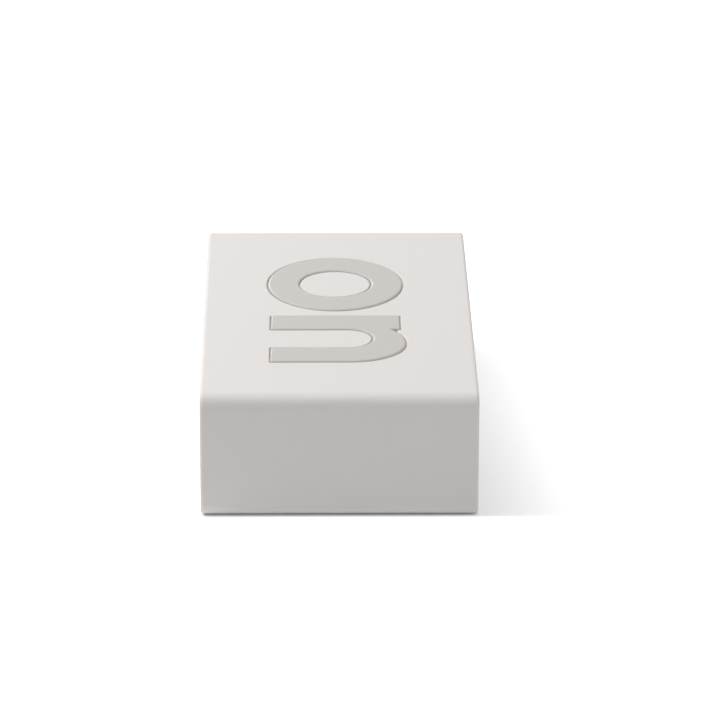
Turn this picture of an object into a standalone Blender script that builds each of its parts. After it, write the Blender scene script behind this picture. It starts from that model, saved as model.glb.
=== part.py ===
"""Flip alarm clock: a low rounded block that is turned over to switch its alarm on or off.

Metres, +Z up. X runs along the length, the display faces -Y and the batteries load from +Y.
The origin is the centre of the footprint, on the surface that the clock lies on. The face
with the word "on" is up, and the face with the word "off" is down.
"""
import math

import bmesh
import bpy
from mathutils import Vector

# Case sleeve; its length and height follow from what it holds
CASE_DEPTH = 0.060
CASE_WALL = 0.0020
CASE_CORNER_RADIUS = 0.0032
CASE_RIM_RADIUS = 0.0008
FACE_RECESS = 0.0008
BOSS_RADIUS = 0.0027
BOSS_LENGTH = 0.0169
BOSS_INSET_X = 0.0043
BOSS_INSET_Z = 0.0030
BOSS_WEB = 0.0022
BOSS_SPACE = 0.0006

# Clearances and cutters
GAP = 0.0003
CUTTER_OVERRUN = 0.0010
MERGE_DISTANCE = 0.00001

# Letters, shared by both words
LETTER_THICKNESS = 0.0010
LETTER_SINK = 0.0001
LETTER_EDGE_RADIUS = 0.00035
LETTER_STEM = 0.00825
LETTER_SPACE = 0.0034
X_HEIGHT = 0.02865
ARCH_HEIGHT = 0.02975
O_WIDTH = 0.0336
O_HEIGHT = 0.0306
O_HOLE_WIDTH = 0.0166
O_HOLE_HEIGHT = 0.0165
N_WIDTH = 0.0275
N_COUNTER_HEIGHT = 0.0226
N_NOTCH_WIDTH = 0.0003
N_SHOULDER_REACH = 0.0108
N_SHOULDER_DROP = 0.0120
N_ARCH_REACH = 0.0085
N_ARCH_DROP = 0.0043
ON_SHIFT = -0.0004
F_ASCENDER = 0.0400
F_STEM_X = 0.0055
F_STROKE = 0.0070
F_BAR_REACH = 0.0054
F_BAR_SPACE = 0.0007
F_BAR_TAPER = 0.0002
F_HOOK_RADIUS = 0.0030
F_HOOK_REACH = 0.0034
F_SPACE = 0.0012
OFF_LIFT = 0.0015

# Front bezel and window
BEZEL_LEDGE = 0.0011
BEZEL_SKIRT_WALL = 0.0012
LENS_LAP_X = 0.0040
LENS_LAP_Z = 0.0017
LENS_THICKNESS = 0.0012
LENS_CORNER_RADIUS = 0.0012
WINDOW_CORNER_RADIUS = 0.0008
POST_RADIUS = 0.0019
POST_BITE = 0.0002
POST_INSET_Z = 0.0050

# Display and backlight
GLASS_LAP_X = 0.00075
GLASS_LAP_Z = 0.0017
GLASS_THICKNESS = 0.0010
CONTACT_LEDGE = 0.0024
DIFFUSER_THICKNESS = 0.0004
LIGHT_GUIDE_THICKNESS = 0.0020
REFLECTOR_THICKNESS = 0.0004
FRAME_WALL = 0.0008
FRAME_SPACE_X = 0.00055
FRAME_SPACE_Z = 0.00035
LED_LENGTH = 0.0014
LED_HEIGHT = 0.0030
ZEBRA_INSET = 0.0020

# Main board and what it carries
BOARD_THICKNESS = 0.0012
MAIN_BOARD_MARGIN = 0.0015
BLOB_RADIUS = 0.0050
BLOB_HEIGHT = 0.0012
BLOB_X = -0.0120
CRYSTAL_RADIUS = 0.0010
CRYSTAL_LENGTH = 0.0060
CRYSTAL_X = -0.0230
CAPACITOR_RADIUS = 0.0025
CAPACITOR_LENGTH = 0.0060
CAPACITOR_GROOVE = 0.0003
CAPACITOR_X = -0.0330
TILT_CAN_RADIUS = 0.0026
TILT_CAN_WALL = 0.0005
TILT_CAN_LENGTH = 0.0090
TILT_BASE_LENGTH = 0.0014
TILT_PIN_RADIUS = 0.0003
TILT_PIN_LENGTH = 0.0020
TILT_PIN_SPAN = 0.0016
TILT_BALL_PLAY = 0.0005
TILT_X = 0.0240

# Screws
BOARD_SCREW_RADIUS = 0.0008
BOARD_SCREW_LENGTH = 0.0062
BOARD_SCREW_HEAD_RADIUS = 0.0015
BOARD_SCREW_HEAD_HEIGHT = 0.0010
REAR_SCREW_RADIUS = 0.0011
REAR_SCREW_LENGTH = 0.0085
REAR_SCREW_HEAD_RADIUS = 0.0019
REAR_SCREW_HEAD_HEIGHT = 0.0009
SCREW_RECESS_WIDTH = 0.0005
SCREW_RECESS_DEPTH = 0.0005
SCREW_RECESS_SPAN_SHARE = 1.3
SCREW_TIP_SHARE = 0.6

# Rear cover
COVER_THICKNESS = 0.0020
COVER_SCREW_SINK = 0.0012
SLOT_COUNT = 5
SLOT_WIDTH = 0.0010
SLOT_HEIGHT = 0.0070
SLOT_PITCH = 0.0020
PEG_RADIUS = 0.0008
PEG_EXTRA = 0.0006
PEG_INSET_X = 0.0016
PEG_INSET_Z = 0.0020
PEG_SWITCH_SPACE = 0.0004
NOTCH_RADIUS = 0.0032
NOTCH_DEPTH = 0.0010

# Battery bay, cells and contacts
CELL_RADIUS = 0.0052
CELL_LENGTH = 0.0445
CELL_NUB_RADIUS = 0.0019
CELL_NUB_LENGTH = 0.0008
CELL_EDGE = 0.0004
CELL_SIDE_PLAY = 0.0004
BAY_BOSS_SPACE = 0.0011
BAY_WALL = 0.0016
BAY_SIDE_WALL = 0.0010
BAY_HINGE_WALL = 0.0026
HINGE_SIDE_WALL = 0.0010
BAY_FLOOR = 0.0012
CONTACT_THICKNESS = 0.0004
CONTACT_WIDTH = 0.0080
CONTACT_TAB_WIDTH = 0.0024
CONTACT_TAB_REACH = 0.0014
SPRING_LENGTH = 0.0034
SPRING_WIRE_RADIUS = 0.00022
SPRING_BASE_RADIUS = 0.0036
SPRING_TIP_RADIUS = 0.0019
SPRING_TURNS = 3.5
SPRING_POINTS_PER_TURN = 10

# Battery door
DOOR_THICKNESS = 0.0016
DOOR_BARREL_RADIUS = 0.0014
DOOR_PIN_RADIUS = 0.0006
DOOR_PIN_LENGTH = 0.00095
TONGUE_WIDTH = 0.0100
TONGUE_LENGTH = 0.0070
TONGUE_SLOT = 0.0008
RIDGE_COUNT = 3
RIDGE_PITCH = 0.0016
RIDGE_WIDTH = 0.0006
RIDGE_HEIGHT = 0.0003
RIDGE_LENGTH = 0.0080

# Buttons, switches and buzzer
BUTTON_NAMES = ("set_button", "alarm_button", "plus_button", "minus_button")
BUTTON_SPACE = 0.0017
BUTTON_ROW_RISE = 0.0062
BUTTON_HEIGHT = 0.0042
BUTTON_RISE = 0.0007
BUTTON_EDGE_RADIUS = 0.0002
BUTTON_TRAVEL = 0.0005
FLANGE_MARGIN = 0.0005
FLANGE_THICKNESS = 0.0008
PLUNGER_RADIUS = 0.0012
PLUNGER_LENGTH = 0.0017
STEM_RADIUS = 0.0015
STEM_LENGTH = 0.0020
STEM_RISE = 0.0010
SWITCH_SIZE = 0.0060
SWITCH_HEIGHT = 0.0035
SWITCH_SPACE = 0.0013
SWITCH_MARGIN = 0.00105
BUTTON_BOARD_MARGIN = 0.00075
BUTTON_BOARD_SPACE = 0.0009
BUZZER_RADIUS = 0.0060
BUZZER_DROP = 0.0050
BUZZER_PORT_RADIUS = 0.0012
BUZZER_PORT_DEPTH = 0.0020

# Wiring
LEAD_RADIUS = 0.0006
LEAD_STEPS = 14
LEAD_BOARD_X = 0.0150
RIBBON_THICKNESS = 0.0007
RIBBON_WIDTH = 0.0080
RIBBON_STEPS = 14
RIBBON_SHIFT = 0.0071
RIBBON_PULL = 0.0150

# Smoothness
CORNER_STEPS = 5
ROUND_STEPS = 24
SMALL_ROUND_STEPS = 14
LETTER_ROUND_STEPS = 36
SMOOTH_ANGLE = math.radians(35)

# Letter f: its hook clears the bar, and both reach out from the stem
F_STEM_RIGHT = F_STEM_X + LETTER_STEM
F_HOOK_START = F_STEM_RIGHT + F_HOOK_RADIUS
F_WIDTH = F_HOOK_START + F_HOOK_REACH
F_BAR_TOP = F_ASCENDER - F_STROKE - F_HOOK_RADIUS - F_BAR_SPACE

# Sizes of the battery bay, the button row and the case round them
CELL_SPREAD = CELL_RADIUS + GAP / 2
BAY_HEIGHT = 2 * (CELL_SPREAD + CELL_RADIUS + CELL_SIDE_PLAY)
BAY_LENGTH = CELL_LENGTH + SPRING_LENGTH + 2 * CONTACT_THICKNESS + 5 * GAP
BUTTON_PITCH = SWITCH_SIZE + SWITCH_SPACE
BUTTON_WIDTH = BUTTON_PITCH - BUTTON_SPACE
BUTTON_BOARD_LENGTH = BUTTON_PITCH * (len(BUTTON_NAMES) - 1) + SWITCH_SIZE + 2 * SWITCH_MARGIN
COVER_HEIGHT = BAY_HEIGHT + 2 * BAY_SIDE_WALL
CAVITY_HEIGHT = COVER_HEIGHT + 2 * GAP
CASE_HEIGHT = CAVITY_HEIGHT + 2 * CASE_WALL
BAY_OUTER_LENGTH = BAY_HINGE_WALL + BAY_LENGTH + BAY_WALL
BOSS_REACH = BOSS_INSET_X + BOSS_RADIUS
BETWEEN_BOSSES = BAY_BOSS_SPACE + BAY_OUTER_LENGTH + BUTTON_BOARD_SPACE + BUTTON_BOARD_LENGTH + BOSS_SPACE
CAVITY_LENGTH = BETWEEN_BOSSES + 2 * BOSS_REACH
CASE_LENGTH = CAVITY_LENGTH + 2 * CASE_WALL
CAVITY_RADIUS = CASE_CORNER_RADIUS - CASE_WALL
COVER_LENGTH = CAVITY_LENGTH - 2 * GAP
MID_HEIGHT = CASE_HEIGHT / 2

# Display, window and boards, each fitted into what holds it
POST_X = COVER_LENGTH / 2 - BEZEL_SKIRT_WALL - POST_RADIUS + POST_BITE
POST_Z = COVER_HEIGHT / 2 - POST_INSET_Z
FRAME_LENGTH = 2 * (POST_X - POST_RADIUS - FRAME_SPACE_X)
FRAME_HEIGHT = COVER_HEIGHT - 2 * (BEZEL_SKIRT_WALL + FRAME_SPACE_Z)
GLASS_LENGTH = FRAME_LENGTH - 2 * (FRAME_WALL + GAP)
FRONT_GLASS_HEIGHT = FRAME_HEIGHT - 2 * (FRAME_WALL + GAP)
WINDOW_LENGTH = GLASS_LENGTH - 2 * GLASS_LAP_X
WINDOW_HEIGHT = FRONT_GLASS_HEIGHT - 2 * GLASS_LAP_Z
LENS_LENGTH = WINDOW_LENGTH + 2 * LENS_LAP_X
LENS_HEIGHT = WINDOW_HEIGHT + 2 * LENS_LAP_Z
MAIN_BOARD_LENGTH = CAVITY_LENGTH - 2 * MAIN_BOARD_MARGIN
MAIN_BOARD_HEIGHT = CAVITY_HEIGHT - 2 * MAIN_BOARD_MARGIN
BUTTON_BOARD_HEIGHT = COVER_HEIGHT - 2 * BUTTON_BOARD_MARGIN
TILT_BORE_RADIUS = TILT_CAN_RADIUS - TILT_CAN_WALL
TILT_BALL_RADIUS = TILT_BORE_RADIUS - TILT_BALL_PLAY

# Places worked out from the sizes, front to rear
FRONT_FACE = -CASE_DEPTH / 2 + FACE_RECESS
LENS_BACK = FRONT_FACE + LENS_THICKNESS
LEDGE_FRONT = LENS_BACK + GAP
LEDGE_BACK = LEDGE_FRONT + BEZEL_LEDGE
FRONT_GLASS_FRONT = LEDGE_BACK + GAP
REAR_GLASS_FRONT = FRONT_GLASS_FRONT + GLASS_THICKNESS + GAP
DIFFUSER_FRONT = REAR_GLASS_FRONT + GLASS_THICKNESS + GAP
LIGHT_GUIDE_FRONT = DIFFUSER_FRONT + DIFFUSER_THICKNESS + GAP
REFLECTOR_FRONT = LIGHT_GUIDE_FRONT + LIGHT_GUIDE_THICKNESS + GAP
SKIRT_BACK = REFLECTOR_FRONT + REFLECTOR_THICKNESS
BOARD_FRONT = SKIRT_BACK + GAP
BOARD_BACK = BOARD_FRONT + BOARD_THICKNESS
PARTS_FRONT = BOARD_BACK + GAP

REAR_FACE = CASE_DEPTH / 2 - FACE_RECESS
COVER_BACK = REAR_FACE - COVER_THICKNESS
BOSS_TOP = COVER_BACK - GAP
DOOR_BACK = REAR_FACE - DOOR_THICKNESS
CELL_Y = DOOR_BACK - GAP - CELL_RADIUS
BOSS_X = CAVITY_LENGTH / 2 - BOSS_INSET_X
BOSS_Z = CAVITY_HEIGHT / 2 - BOSS_INSET_Z
BAY_LOW_X = -BOSS_X + BOSS_RADIUS + BAY_BOSS_SPACE + BAY_HINGE_WALL
BAY_HIGH_X = BAY_LOW_X + BAY_LENGTH
BAY_MIDDLE_X = (BAY_LOW_X + BAY_HIGH_X) / 2
BAY_FLOOR_TOP = CELL_Y - CELL_RADIUS - GAP
BAY_FLOOR_BACK = BAY_FLOOR_TOP - BAY_FLOOR
HINGE_Y = REAR_FACE - DOOR_BARREL_RADIUS
HINGE_RECESS_X = BAY_LOW_X - BAY_HINGE_WALL + HINGE_SIDE_WALL
HINGE_X = HINGE_RECESS_X + GAP + DOOR_BARREL_RADIUS
DOOR_LENGTH = BAY_HIGH_X + BAY_WALL - GAP - HINGE_X
DOOR_HEIGHT = BAY_HEIGHT - 2 * GAP
CONTACT_LOW_Y = BAY_FLOOR_TOP + GAP
CONTACT_HIGH_Y = HINGE_Y - DOOR_BARREL_RADIUS - GAP

BUTTON_BOARD_X = BAY_HIGH_X + BAY_WALL + BUTTON_BOARD_SPACE + BUTTON_BOARD_LENGTH / 2
BUTTON_LEVEL = MID_HEIGHT + BUTTON_ROW_RISE
FLANGE_BACK = COVER_BACK - GAP - FLANGE_THICKNESS
PLUNGER_TIP = FLANGE_BACK - PLUNGER_LENGTH
STEM_TOP = PLUNGER_TIP - GAP
SWITCH_TOP = STEM_TOP - STEM_RISE
SWITCH_BACK = SWITCH_TOP - SWITCH_HEIGHT
BUTTON_BOARD_TOP = SWITCH_BACK - GAP
BUTTON_BOARD_BACK = BUTTON_BOARD_TOP - BOARD_THICKNESS
BUZZER_TOP = COVER_BACK - GAP
BUZZER_HEIGHT = BUZZER_TOP - BUTTON_BOARD_TOP - GAP


# Scene and collections

def clear_scene():
    for old in list(bpy.data.objects):
        bpy.data.objects.remove(old, do_unlink=True)


def make_collection(name):
    group = bpy.data.collections.new(name)
    bpy.context.scene.collection.children.link(group)
    return group


clear_scene()
PARTS = make_collection("flip_alarm_clock")
CUTTERS = make_collection("cutters")


def make_finish(name, colour, roughness, metallic=0.0, transmission=0.0):
    finish = bpy.data.materials.new(name)
    finish.use_nodes = True
    shader = finish.node_tree.nodes["Principled BSDF"]
    shader.inputs["Base Color"].default_value = (*colour, 1.0)
    shader.inputs["Roughness"].default_value = roughness
    shader.inputs["Metallic"].default_value = metallic
    shader.inputs["Transmission Weight"].default_value = transmission
    return finish


SOFT_WHITE = make_finish("soft_touch_white", (0.78, 0.76, 0.73), 0.75)
LETTER_GREY = make_finish("letter_grey", (0.62, 0.60, 0.57), 0.35)
DARK_PLASTIC = make_finish("dark_plastic", (0.05, 0.05, 0.055), 0.45)
GREY_PLASTIC = make_finish("grey_plastic", (0.55, 0.54, 0.52), 0.55)
CLEAR_WINDOW = make_finish("clear_window", (0.95, 0.96, 0.96), 0.05, transmission=0.9)
DISPLAY_GLASS = make_finish("display_glass", (0.62, 0.66, 0.58), 0.1)
WHITE_PLASTIC = make_finish("white_plastic", (0.85, 0.85, 0.83), 0.5)
BLACK_RUBBER = make_finish("black_rubber", (0.03, 0.03, 0.03), 0.85)
BOARD_GREEN = make_finish("board_green", (0.03, 0.17, 0.08), 0.45)
STEEL = make_finish("steel", (0.62, 0.62, 0.63), 0.3, metallic=1.0)
CELL_LABEL = make_finish("cell_label", (0.16, 0.18, 0.22), 0.4)
RED_INSULATION = make_finish("red_insulation", (0.6, 0.03, 0.03), 0.5)
BLACK_INSULATION = make_finish("black_insulation", (0.02, 0.02, 0.02), 0.5)


# Outlines: lists of points that run anticlockwise

def arc(centre, radii, start, end, steps):
    points = []
    for index in range(steps + 1):
        angle = math.radians(start + (end - start) * index / steps)
        points.append((centre[0] + radii[0] * math.cos(angle), centre[1] + radii[1] * math.sin(angle)))
    return points


def ellipse(centre, radii, steps):
    return arc(centre, radii, 0, 360, steps)[:-1]


def rounded_rectangle(length, height, radius, steps=CORNER_STEPS):
    points = []
    corner_signs = ((1, 1), (-1, 1), (-1, -1), (1, -1))
    for quarter, (side_x, side_z) in enumerate(corner_signs):
        centre = (side_x * (length / 2 - radius), side_z * (height / 2 - radius))
        points += arc(centre, (radius, radius), 90 * quarter, 90 * (quarter + 1), steps)
    return points


def tidy_outline(points):
    """Drops points that repeat the one before them."""
    kept = []
    for point in points:
        if not kept or (Vector(point) - Vector(kept[-1])).length > MERGE_DISTANCE:
            kept.append(point)
    if (Vector(kept[0]) - Vector(kept[-1])).length <= MERGE_DISTANCE:
        kept.pop()
    return kept


def grow_outline(points, distance):
    """Moves an anticlockwise outline outwards by distance, with mitred corners."""
    points = [Vector(point) for point in tidy_outline(points)]
    grown = []
    for index, point in enumerate(points):
        into = (point - points[index - 1]).normalized()
        out_of = (points[(index + 1) % len(points)] - point).normalized()
        normal_in = Vector((into.y, -into.x))
        normal_out = Vector((out_of.y, -out_of.x))
        mitre = (normal_in + normal_out) / (1 + normal_in.dot(normal_out))
        grown.append(tuple(point + mitre * distance))
    return grown


def letter_o(grow=0.0):
    centre = (O_WIDTH / 2, ARCH_HEIGHT - O_HEIGHT / 2)
    outer = ellipse(centre, (O_WIDTH / 2 + grow, O_HEIGHT / 2 + grow), LETTER_ROUND_STEPS)
    hole = ellipse(centre, (O_HOLE_WIDTH / 2 - grow, O_HOLE_HEIGHT / 2 - grow), LETTER_ROUND_STEPS)
    return [outer, hole]


def letter_n(grow=0.0):
    quarter = LETTER_ROUND_STEPS // 4
    counter_radius = (N_WIDTH - 2 * LETTER_STEM) / 2
    counter_centre = (N_WIDTH / 2, N_COUNTER_HEIGHT - counter_radius)
    shoulder_centre = (N_WIDTH - N_SHOULDER_REACH, ARCH_HEIGHT - N_SHOULDER_DROP)
    arch_centre = (shoulder_centre[0], ARCH_HEIGHT - N_ARCH_DROP)
    arch_start = LETTER_STEM + max(N_NOTCH_WIDTH, 3 * grow)
    notch_angle = math.degrees(math.acos((arch_start - arch_centre[0]) / N_ARCH_REACH))
    outline = [(0, 0), (LETTER_STEM, 0)]
    outline += arc(counter_centre, (counter_radius, counter_radius), 180, 0, 2 * quarter)
    outline += [(N_WIDTH - LETTER_STEM, 0), (N_WIDTH, 0)]
    outline += arc(shoulder_centre, (N_SHOULDER_REACH, N_SHOULDER_DROP), 0, 90, quarter)
    outline += arc(arch_centre, (N_ARCH_REACH, N_ARCH_DROP), 90, notch_angle, quarter // 2)
    outline += [(LETTER_STEM, outline[-1][1]), (LETTER_STEM, X_HEIGHT), (0, X_HEIGHT)]
    return [grow_outline(outline, grow)]


def letter_f(grow=0.0):
    quarter = LETTER_ROUND_STEPS // 4
    bar_low = F_BAR_TOP - F_STROKE
    bar_end = F_STEM_RIGHT + F_BAR_REACH
    hook_low = F_ASCENDER - F_STROKE
    inner_centre = (F_HOOK_START, hook_low - F_HOOK_RADIUS)
    outer_centre = (F_HOOK_START, F_BAR_TOP)
    outer_radii = (F_HOOK_START - F_STEM_X, F_ASCENDER - F_BAR_TOP)
    end_low = bar_low + F_BAR_TAPER
    end_top = F_BAR_TOP - F_BAR_TAPER
    outline = [(F_STEM_X, 0), (F_STEM_RIGHT, 0), (F_STEM_RIGHT, bar_low)]
    outline += [(bar_end, end_low), (bar_end, end_top), (F_STEM_RIGHT, F_BAR_TOP)]
    outline += arc(inner_centre, (F_HOOK_RADIUS, F_HOOK_RADIUS), 180, 90, quarter // 2)
    outline += [(F_WIDTH, hook_low), (F_WIDTH, F_ASCENDER)]
    outline += arc(outer_centre, outer_radii, 90, 180, quarter)
    outline += [(0, end_top), (0, end_low), (F_STEM_X, bar_low)]
    return [grow_outline(outline, grow)]


# Shapes

def add_object(name, data, group=PARTS):
    shape = bpy.data.objects.new(name, data)
    group.objects.link(shape)
    if group is CUTTERS:
        shape.hide_render = True
        shape.display_type = "WIRE"
    return shape


def smooth(mesh):
    mesh.shade_smooth()
    mesh.set_sharp_from_angle(angle=SMOOTH_ANGLE)


def box(name, size, centre, group=CUTTERS):
    mesh = bpy.data.meshes.new(name)
    shape = bmesh.new()
    bmesh.ops.create_cube(shape, size=1)
    bmesh.ops.scale(shape, vec=size, verts=shape.verts)
    shape.to_mesh(mesh)
    shape.free()
    block = add_object(name, mesh, group)
    block.location = centre
    return block


def span_box(name, low, high, group=CUTTERS):
    """A box between two corners."""
    size = [top - bottom for bottom, top in zip(low, high)]
    centre = [(top + bottom) / 2 for bottom, top in zip(low, high)]
    return box(name, size, centre, group)


def rod(name, radius, length, centre, axis="Y", steps=ROUND_STEPS, group=CUTTERS):
    mesh = bpy.data.meshes.new(name)
    shape = bmesh.new()
    bmesh.ops.create_cone(
        shape, cap_ends=True, segments=steps, radius1=radius, radius2=radius, depth=length
    )
    shape.to_mesh(mesh)
    shape.free()
    smooth(mesh)
    cylinder = add_object(name, mesh, group)
    cylinder.location = centre
    cylinder.rotation_euler = {"X": (0, math.pi / 2, 0), "Y": (math.pi / 2, 0, 0), "Z": (0, 0, 0)}[axis]
    return cylinder


def span_rod(name, radius, low_y, high_y, x, z, steps=SMALL_ROUND_STEPS, group=CUTTERS):
    """A rod along Y between two depths."""
    return rod(name, radius, high_y - low_y, (x, (low_y + high_y) / 2, z), "Y", steps, group)


def slab(name, outlines, thickness, centre, facing="Y", edge_radius=0.0, group=PARTS):
    """A flat outline given a thickness, centred on its place and facing Y or Z."""
    curve = bpy.data.curves.new(name + "_outline", "CURVE")
    curve.dimensions = "2D"
    curve.fill_mode = "BOTH"
    curve.extrude = thickness / 2 - edge_radius
    curve.bevel_depth = edge_radius
    curve.bevel_resolution = 1
    curve.offset = -edge_radius
    for outline in outlines:
        points = tidy_outline(outline)
        spline = curve.splines.new("POLY")
        spline.points.add(len(points) - 1)
        for knot, point in zip(spline.points, points):
            knot.co = (point[0], point[1], 0, 1)
        spline.use_cyclic_u = True
    guide = add_object(name + "_outline", curve, CUTTERS)
    guide.location = centre
    if facing == "Y":
        guide.rotation_euler = (math.pi / 2, 0, 0)
    bpy.context.view_layer.update()
    graph = bpy.context.evaluated_depsgraph_get()
    mesh = bpy.data.meshes.new_from_object(guide.evaluated_get(graph))
    mesh.name = name
    shape = bmesh.new()
    shape.from_mesh(mesh)
    bmesh.ops.remove_doubles(shape, verts=shape.verts, dist=MERGE_DISTANCE)
    bmesh.ops.dissolve_degenerate(shape, dist=MERGE_DISTANCE, edges=shape.edges)
    bmesh.ops.recalc_face_normals(shape, faces=shape.faces)
    shape.to_mesh(mesh)
    shape.free()
    smooth(mesh)
    solid = add_object(name, mesh, group)
    solid.matrix_world = guide.matrix_world
    bpy.data.objects.remove(guide, do_unlink=True)
    return solid


def span_slab(name, outlines, low_y, high_y, x=0.0, z=MID_HEIGHT, edge_radius=0.0, group=CUTTERS):
    """A slab that faces Y, between two depths."""
    centre = (x, (low_y + high_y) / 2, z)
    return slab(name, outlines, high_y - low_y, centre, "Y", edge_radius, group)


def turned(name, profile, centre, axis="Z", steps=ROUND_STEPS, group=PARTS):
    """A profile of (radius, height) points, from top to bottom, turned about its axis."""
    mesh = bpy.data.meshes.new(name)
    shape = bmesh.new()
    corners = [shape.verts.new((radius, 0, height)) for radius, height in profile]
    for upper, lower in zip(corners, corners[1:]):
        shape.edges.new((upper, lower))
    shape.to_mesh(mesh)
    shape.free()
    solid = add_object(name, mesh, group)
    screw = solid.modifiers.new("turning", "SCREW")
    screw.axis = "Z"
    screw.steps = steps
    screw.render_steps = steps
    screw.use_merge_vertices = True
    screw.merge_threshold = MERGE_DISTANCE
    screw.use_smooth_shade = True
    solid.location = centre
    solid.rotation_euler = {
        "Z": (0, 0, 0),
        "X": (0, math.pi / 2, 0),
        "-X": (0, -math.pi / 2, 0),
        "Y": (-math.pi / 2, 0, 0),
    }[axis]
    return solid


def boolean(target, other, operation):
    step = target.modifiers.new(other.name, "BOOLEAN")
    step.operation = operation
    step.solver = "EXACT"
    step.object = other


def cut(target, *cutters):
    for cutter in cutters:
        boolean(target, cutter, "DIFFERENCE")


def join(target, *additions):
    for addition in additions:
        boolean(target, addition, "UNION")


def paint(finish, *pieces):
    for piece in pieces:
        piece.data.materials.clear()
        piece.data.materials.append(finish)


def corners(half_x, half_z):
    """The four corners about the middle height, with the number that names what stands there."""
    places = []
    for side_z in (-1, 1):
        for side_x in (-1, 1):
            places.append((len(places) + 1, side_x * half_x, MID_HEIGHT + side_z * half_z))
    return places


# Case sleeve and letters

def letter_layout():
    """Each letter's name, outline function, start along its line, baseline and side."""
    after_o = O_WIDTH + LETTER_SPACE
    after_f = F_WIDTH + F_SPACE
    on_start = ON_SHIFT - (after_o + N_WIDTH) / 2
    off_start = -(after_o + after_f + F_WIDTH) / 2
    on_baseline = -ARCH_HEIGHT / 2
    off_baseline = OFF_LIFT - F_ASCENDER / 2
    return (
        ("on_letter_o", letter_o, on_start, on_baseline, 1),
        ("on_letter_n", letter_n, on_start + after_o, on_baseline, 1),
        ("off_letter_o", letter_o, off_start, off_baseline, -1),
        ("off_letter_f_1", letter_f, off_start + after_o, off_baseline, -1),
        ("off_letter_f_2", letter_f, off_start + after_o + after_f, off_baseline, -1),
    )


def place_letter(letter, start, baseline, side, depth):
    """Lays a letter at a depth under the top face, or turned over at that depth above the underside."""
    letter.location = (side * start, baseline, MID_HEIGHT + side * (MID_HEIGHT - depth))
    letter.rotation_euler = (0, 0 if side > 0 else math.pi, 0)


def make_letters():
    for name, outline, start, baseline, side in letter_layout():
        letter = slab(name, outline(), LETTER_THICKNESS, (0, 0, 0), "Z", LETTER_EDGE_RADIUS)
        place_letter(letter, start, baseline, side, LETTER_SINK + LETTER_THICKNESS / 2)
        paint(LETTER_GREY, letter)


def make_case_sleeve():
    outline = rounded_rectangle(CASE_LENGTH, CASE_HEIGHT, CASE_CORNER_RADIUS)
    sleeve = span_slab(
        "case_sleeve", [outline], -CASE_DEPTH / 2, CASE_DEPTH / 2, edge_radius=CASE_RIM_RADIUS, group=PARTS
    )
    cavity_outline = rounded_rectangle(CAVITY_LENGTH, CAVITY_HEIGHT, CAVITY_RADIUS)
    reach = CASE_DEPTH / 2 + CUTTER_OVERRUN
    cut(sleeve, span_slab("sleeve_cavity", [cavity_outline], -reach, reach))
    boss_base = BOSS_TOP - BOSS_LENGTH
    for number, x, z in corners(BOSS_X, BOSS_Z):
        side_x = math.copysign(1, x)
        side_z = math.copysign(1, z - MID_HEIGHT)
        wall_x = x + side_x * (BOSS_INSET_X + CASE_WALL / 2)
        wall_z = z + side_z * (BOSS_INSET_Z + CASE_WALL / 2)
        boss = span_rod(f"boss_{number}", BOSS_RADIUS, boss_base, BOSS_TOP, x, z)
        side_web = span_box(
            f"boss_side_web_{number}",
            (min(x, wall_x), boss_base, z - BOSS_WEB / 2),
            (max(x, wall_x), BOSS_TOP, z + BOSS_WEB / 2),
        )
        flat_web = span_box(
            f"boss_flat_web_{number}",
            (x - BOSS_WEB / 2, boss_base, min(z, wall_z)),
            (x + BOSS_WEB / 2, BOSS_TOP, max(z, wall_z)),
        )
        join(sleeve, boss, side_web, flat_web)
    pilot_bottom = REAR_FACE - COVER_SCREW_SINK - REAR_SCREW_LENGTH
    pilot_top = BOSS_TOP + CUTTER_OVERRUN
    pilot_radius = REAR_SCREW_RADIUS + GAP
    for number, x, z in corners(BOSS_X, BOSS_Z):
        cut(sleeve, span_rod(f"boss_pilot_{number}", pilot_radius, pilot_bottom, pilot_top, x, z))
    pocket_depth = LETTER_SINK + LETTER_THICKNESS + GAP
    for name, outline, start, baseline, side in letter_layout():
        thickness = pocket_depth + CUTTER_OVERRUN
        pocket = slab(name + "_pocket", outline(GAP), thickness, (0, 0, 0), "Z", group=CUTTERS)
        place_letter(pocket, start, baseline, side, pocket_depth - thickness / 2)
        cut(sleeve, pocket)
    paint(SOFT_WHITE, sleeve)


# Front bezel, window and display

def make_front_bezel():
    outline = rounded_rectangle(COVER_LENGTH, COVER_HEIGHT, CAVITY_RADIUS)
    bezel = span_slab("front_bezel", [outline], FRONT_FACE, SKIRT_BACK, group=PARTS)
    inside = rounded_rectangle(
        COVER_LENGTH - 2 * BEZEL_SKIRT_WALL, COVER_HEIGHT - 2 * BEZEL_SKIRT_WALL, WINDOW_CORNER_RADIUS
    )
    window = rounded_rectangle(WINDOW_LENGTH, WINDOW_HEIGHT, WINDOW_CORNER_RADIUS)
    rebate = rounded_rectangle(LENS_LENGTH + 2 * GAP, LENS_HEIGHT + 2 * GAP, LENS_CORNER_RADIUS + GAP)
    before = FRONT_FACE - CUTTER_OVERRUN
    behind = SKIRT_BACK + CUTTER_OVERRUN
    cut(bezel, span_slab("bezel_inside", [inside], LEDGE_BACK, behind))
    cut(bezel, span_slab("bezel_window", [window], before, LEDGE_BACK + CUTTER_OVERRUN))
    cut(bezel, span_slab("bezel_rebate", [rebate], before, LEDGE_FRONT))
    post_root = (LEDGE_FRONT + LEDGE_BACK) / 2
    for number, x, z in corners(POST_X, POST_Z):
        join(bezel, span_rod(f"board_post_{number}", POST_RADIUS, post_root, SKIRT_BACK, x, z))
    pilot_end = BOARD_BACK - BOARD_SCREW_LENGTH
    for number, x, z in corners(POST_X, POST_Z):
        cut(bezel, span_rod(f"post_pilot_{number}", BOARD_SCREW_RADIUS + GAP, pilot_end, behind, x, z))
    paint(DARK_PLASTIC, bezel)


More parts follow.
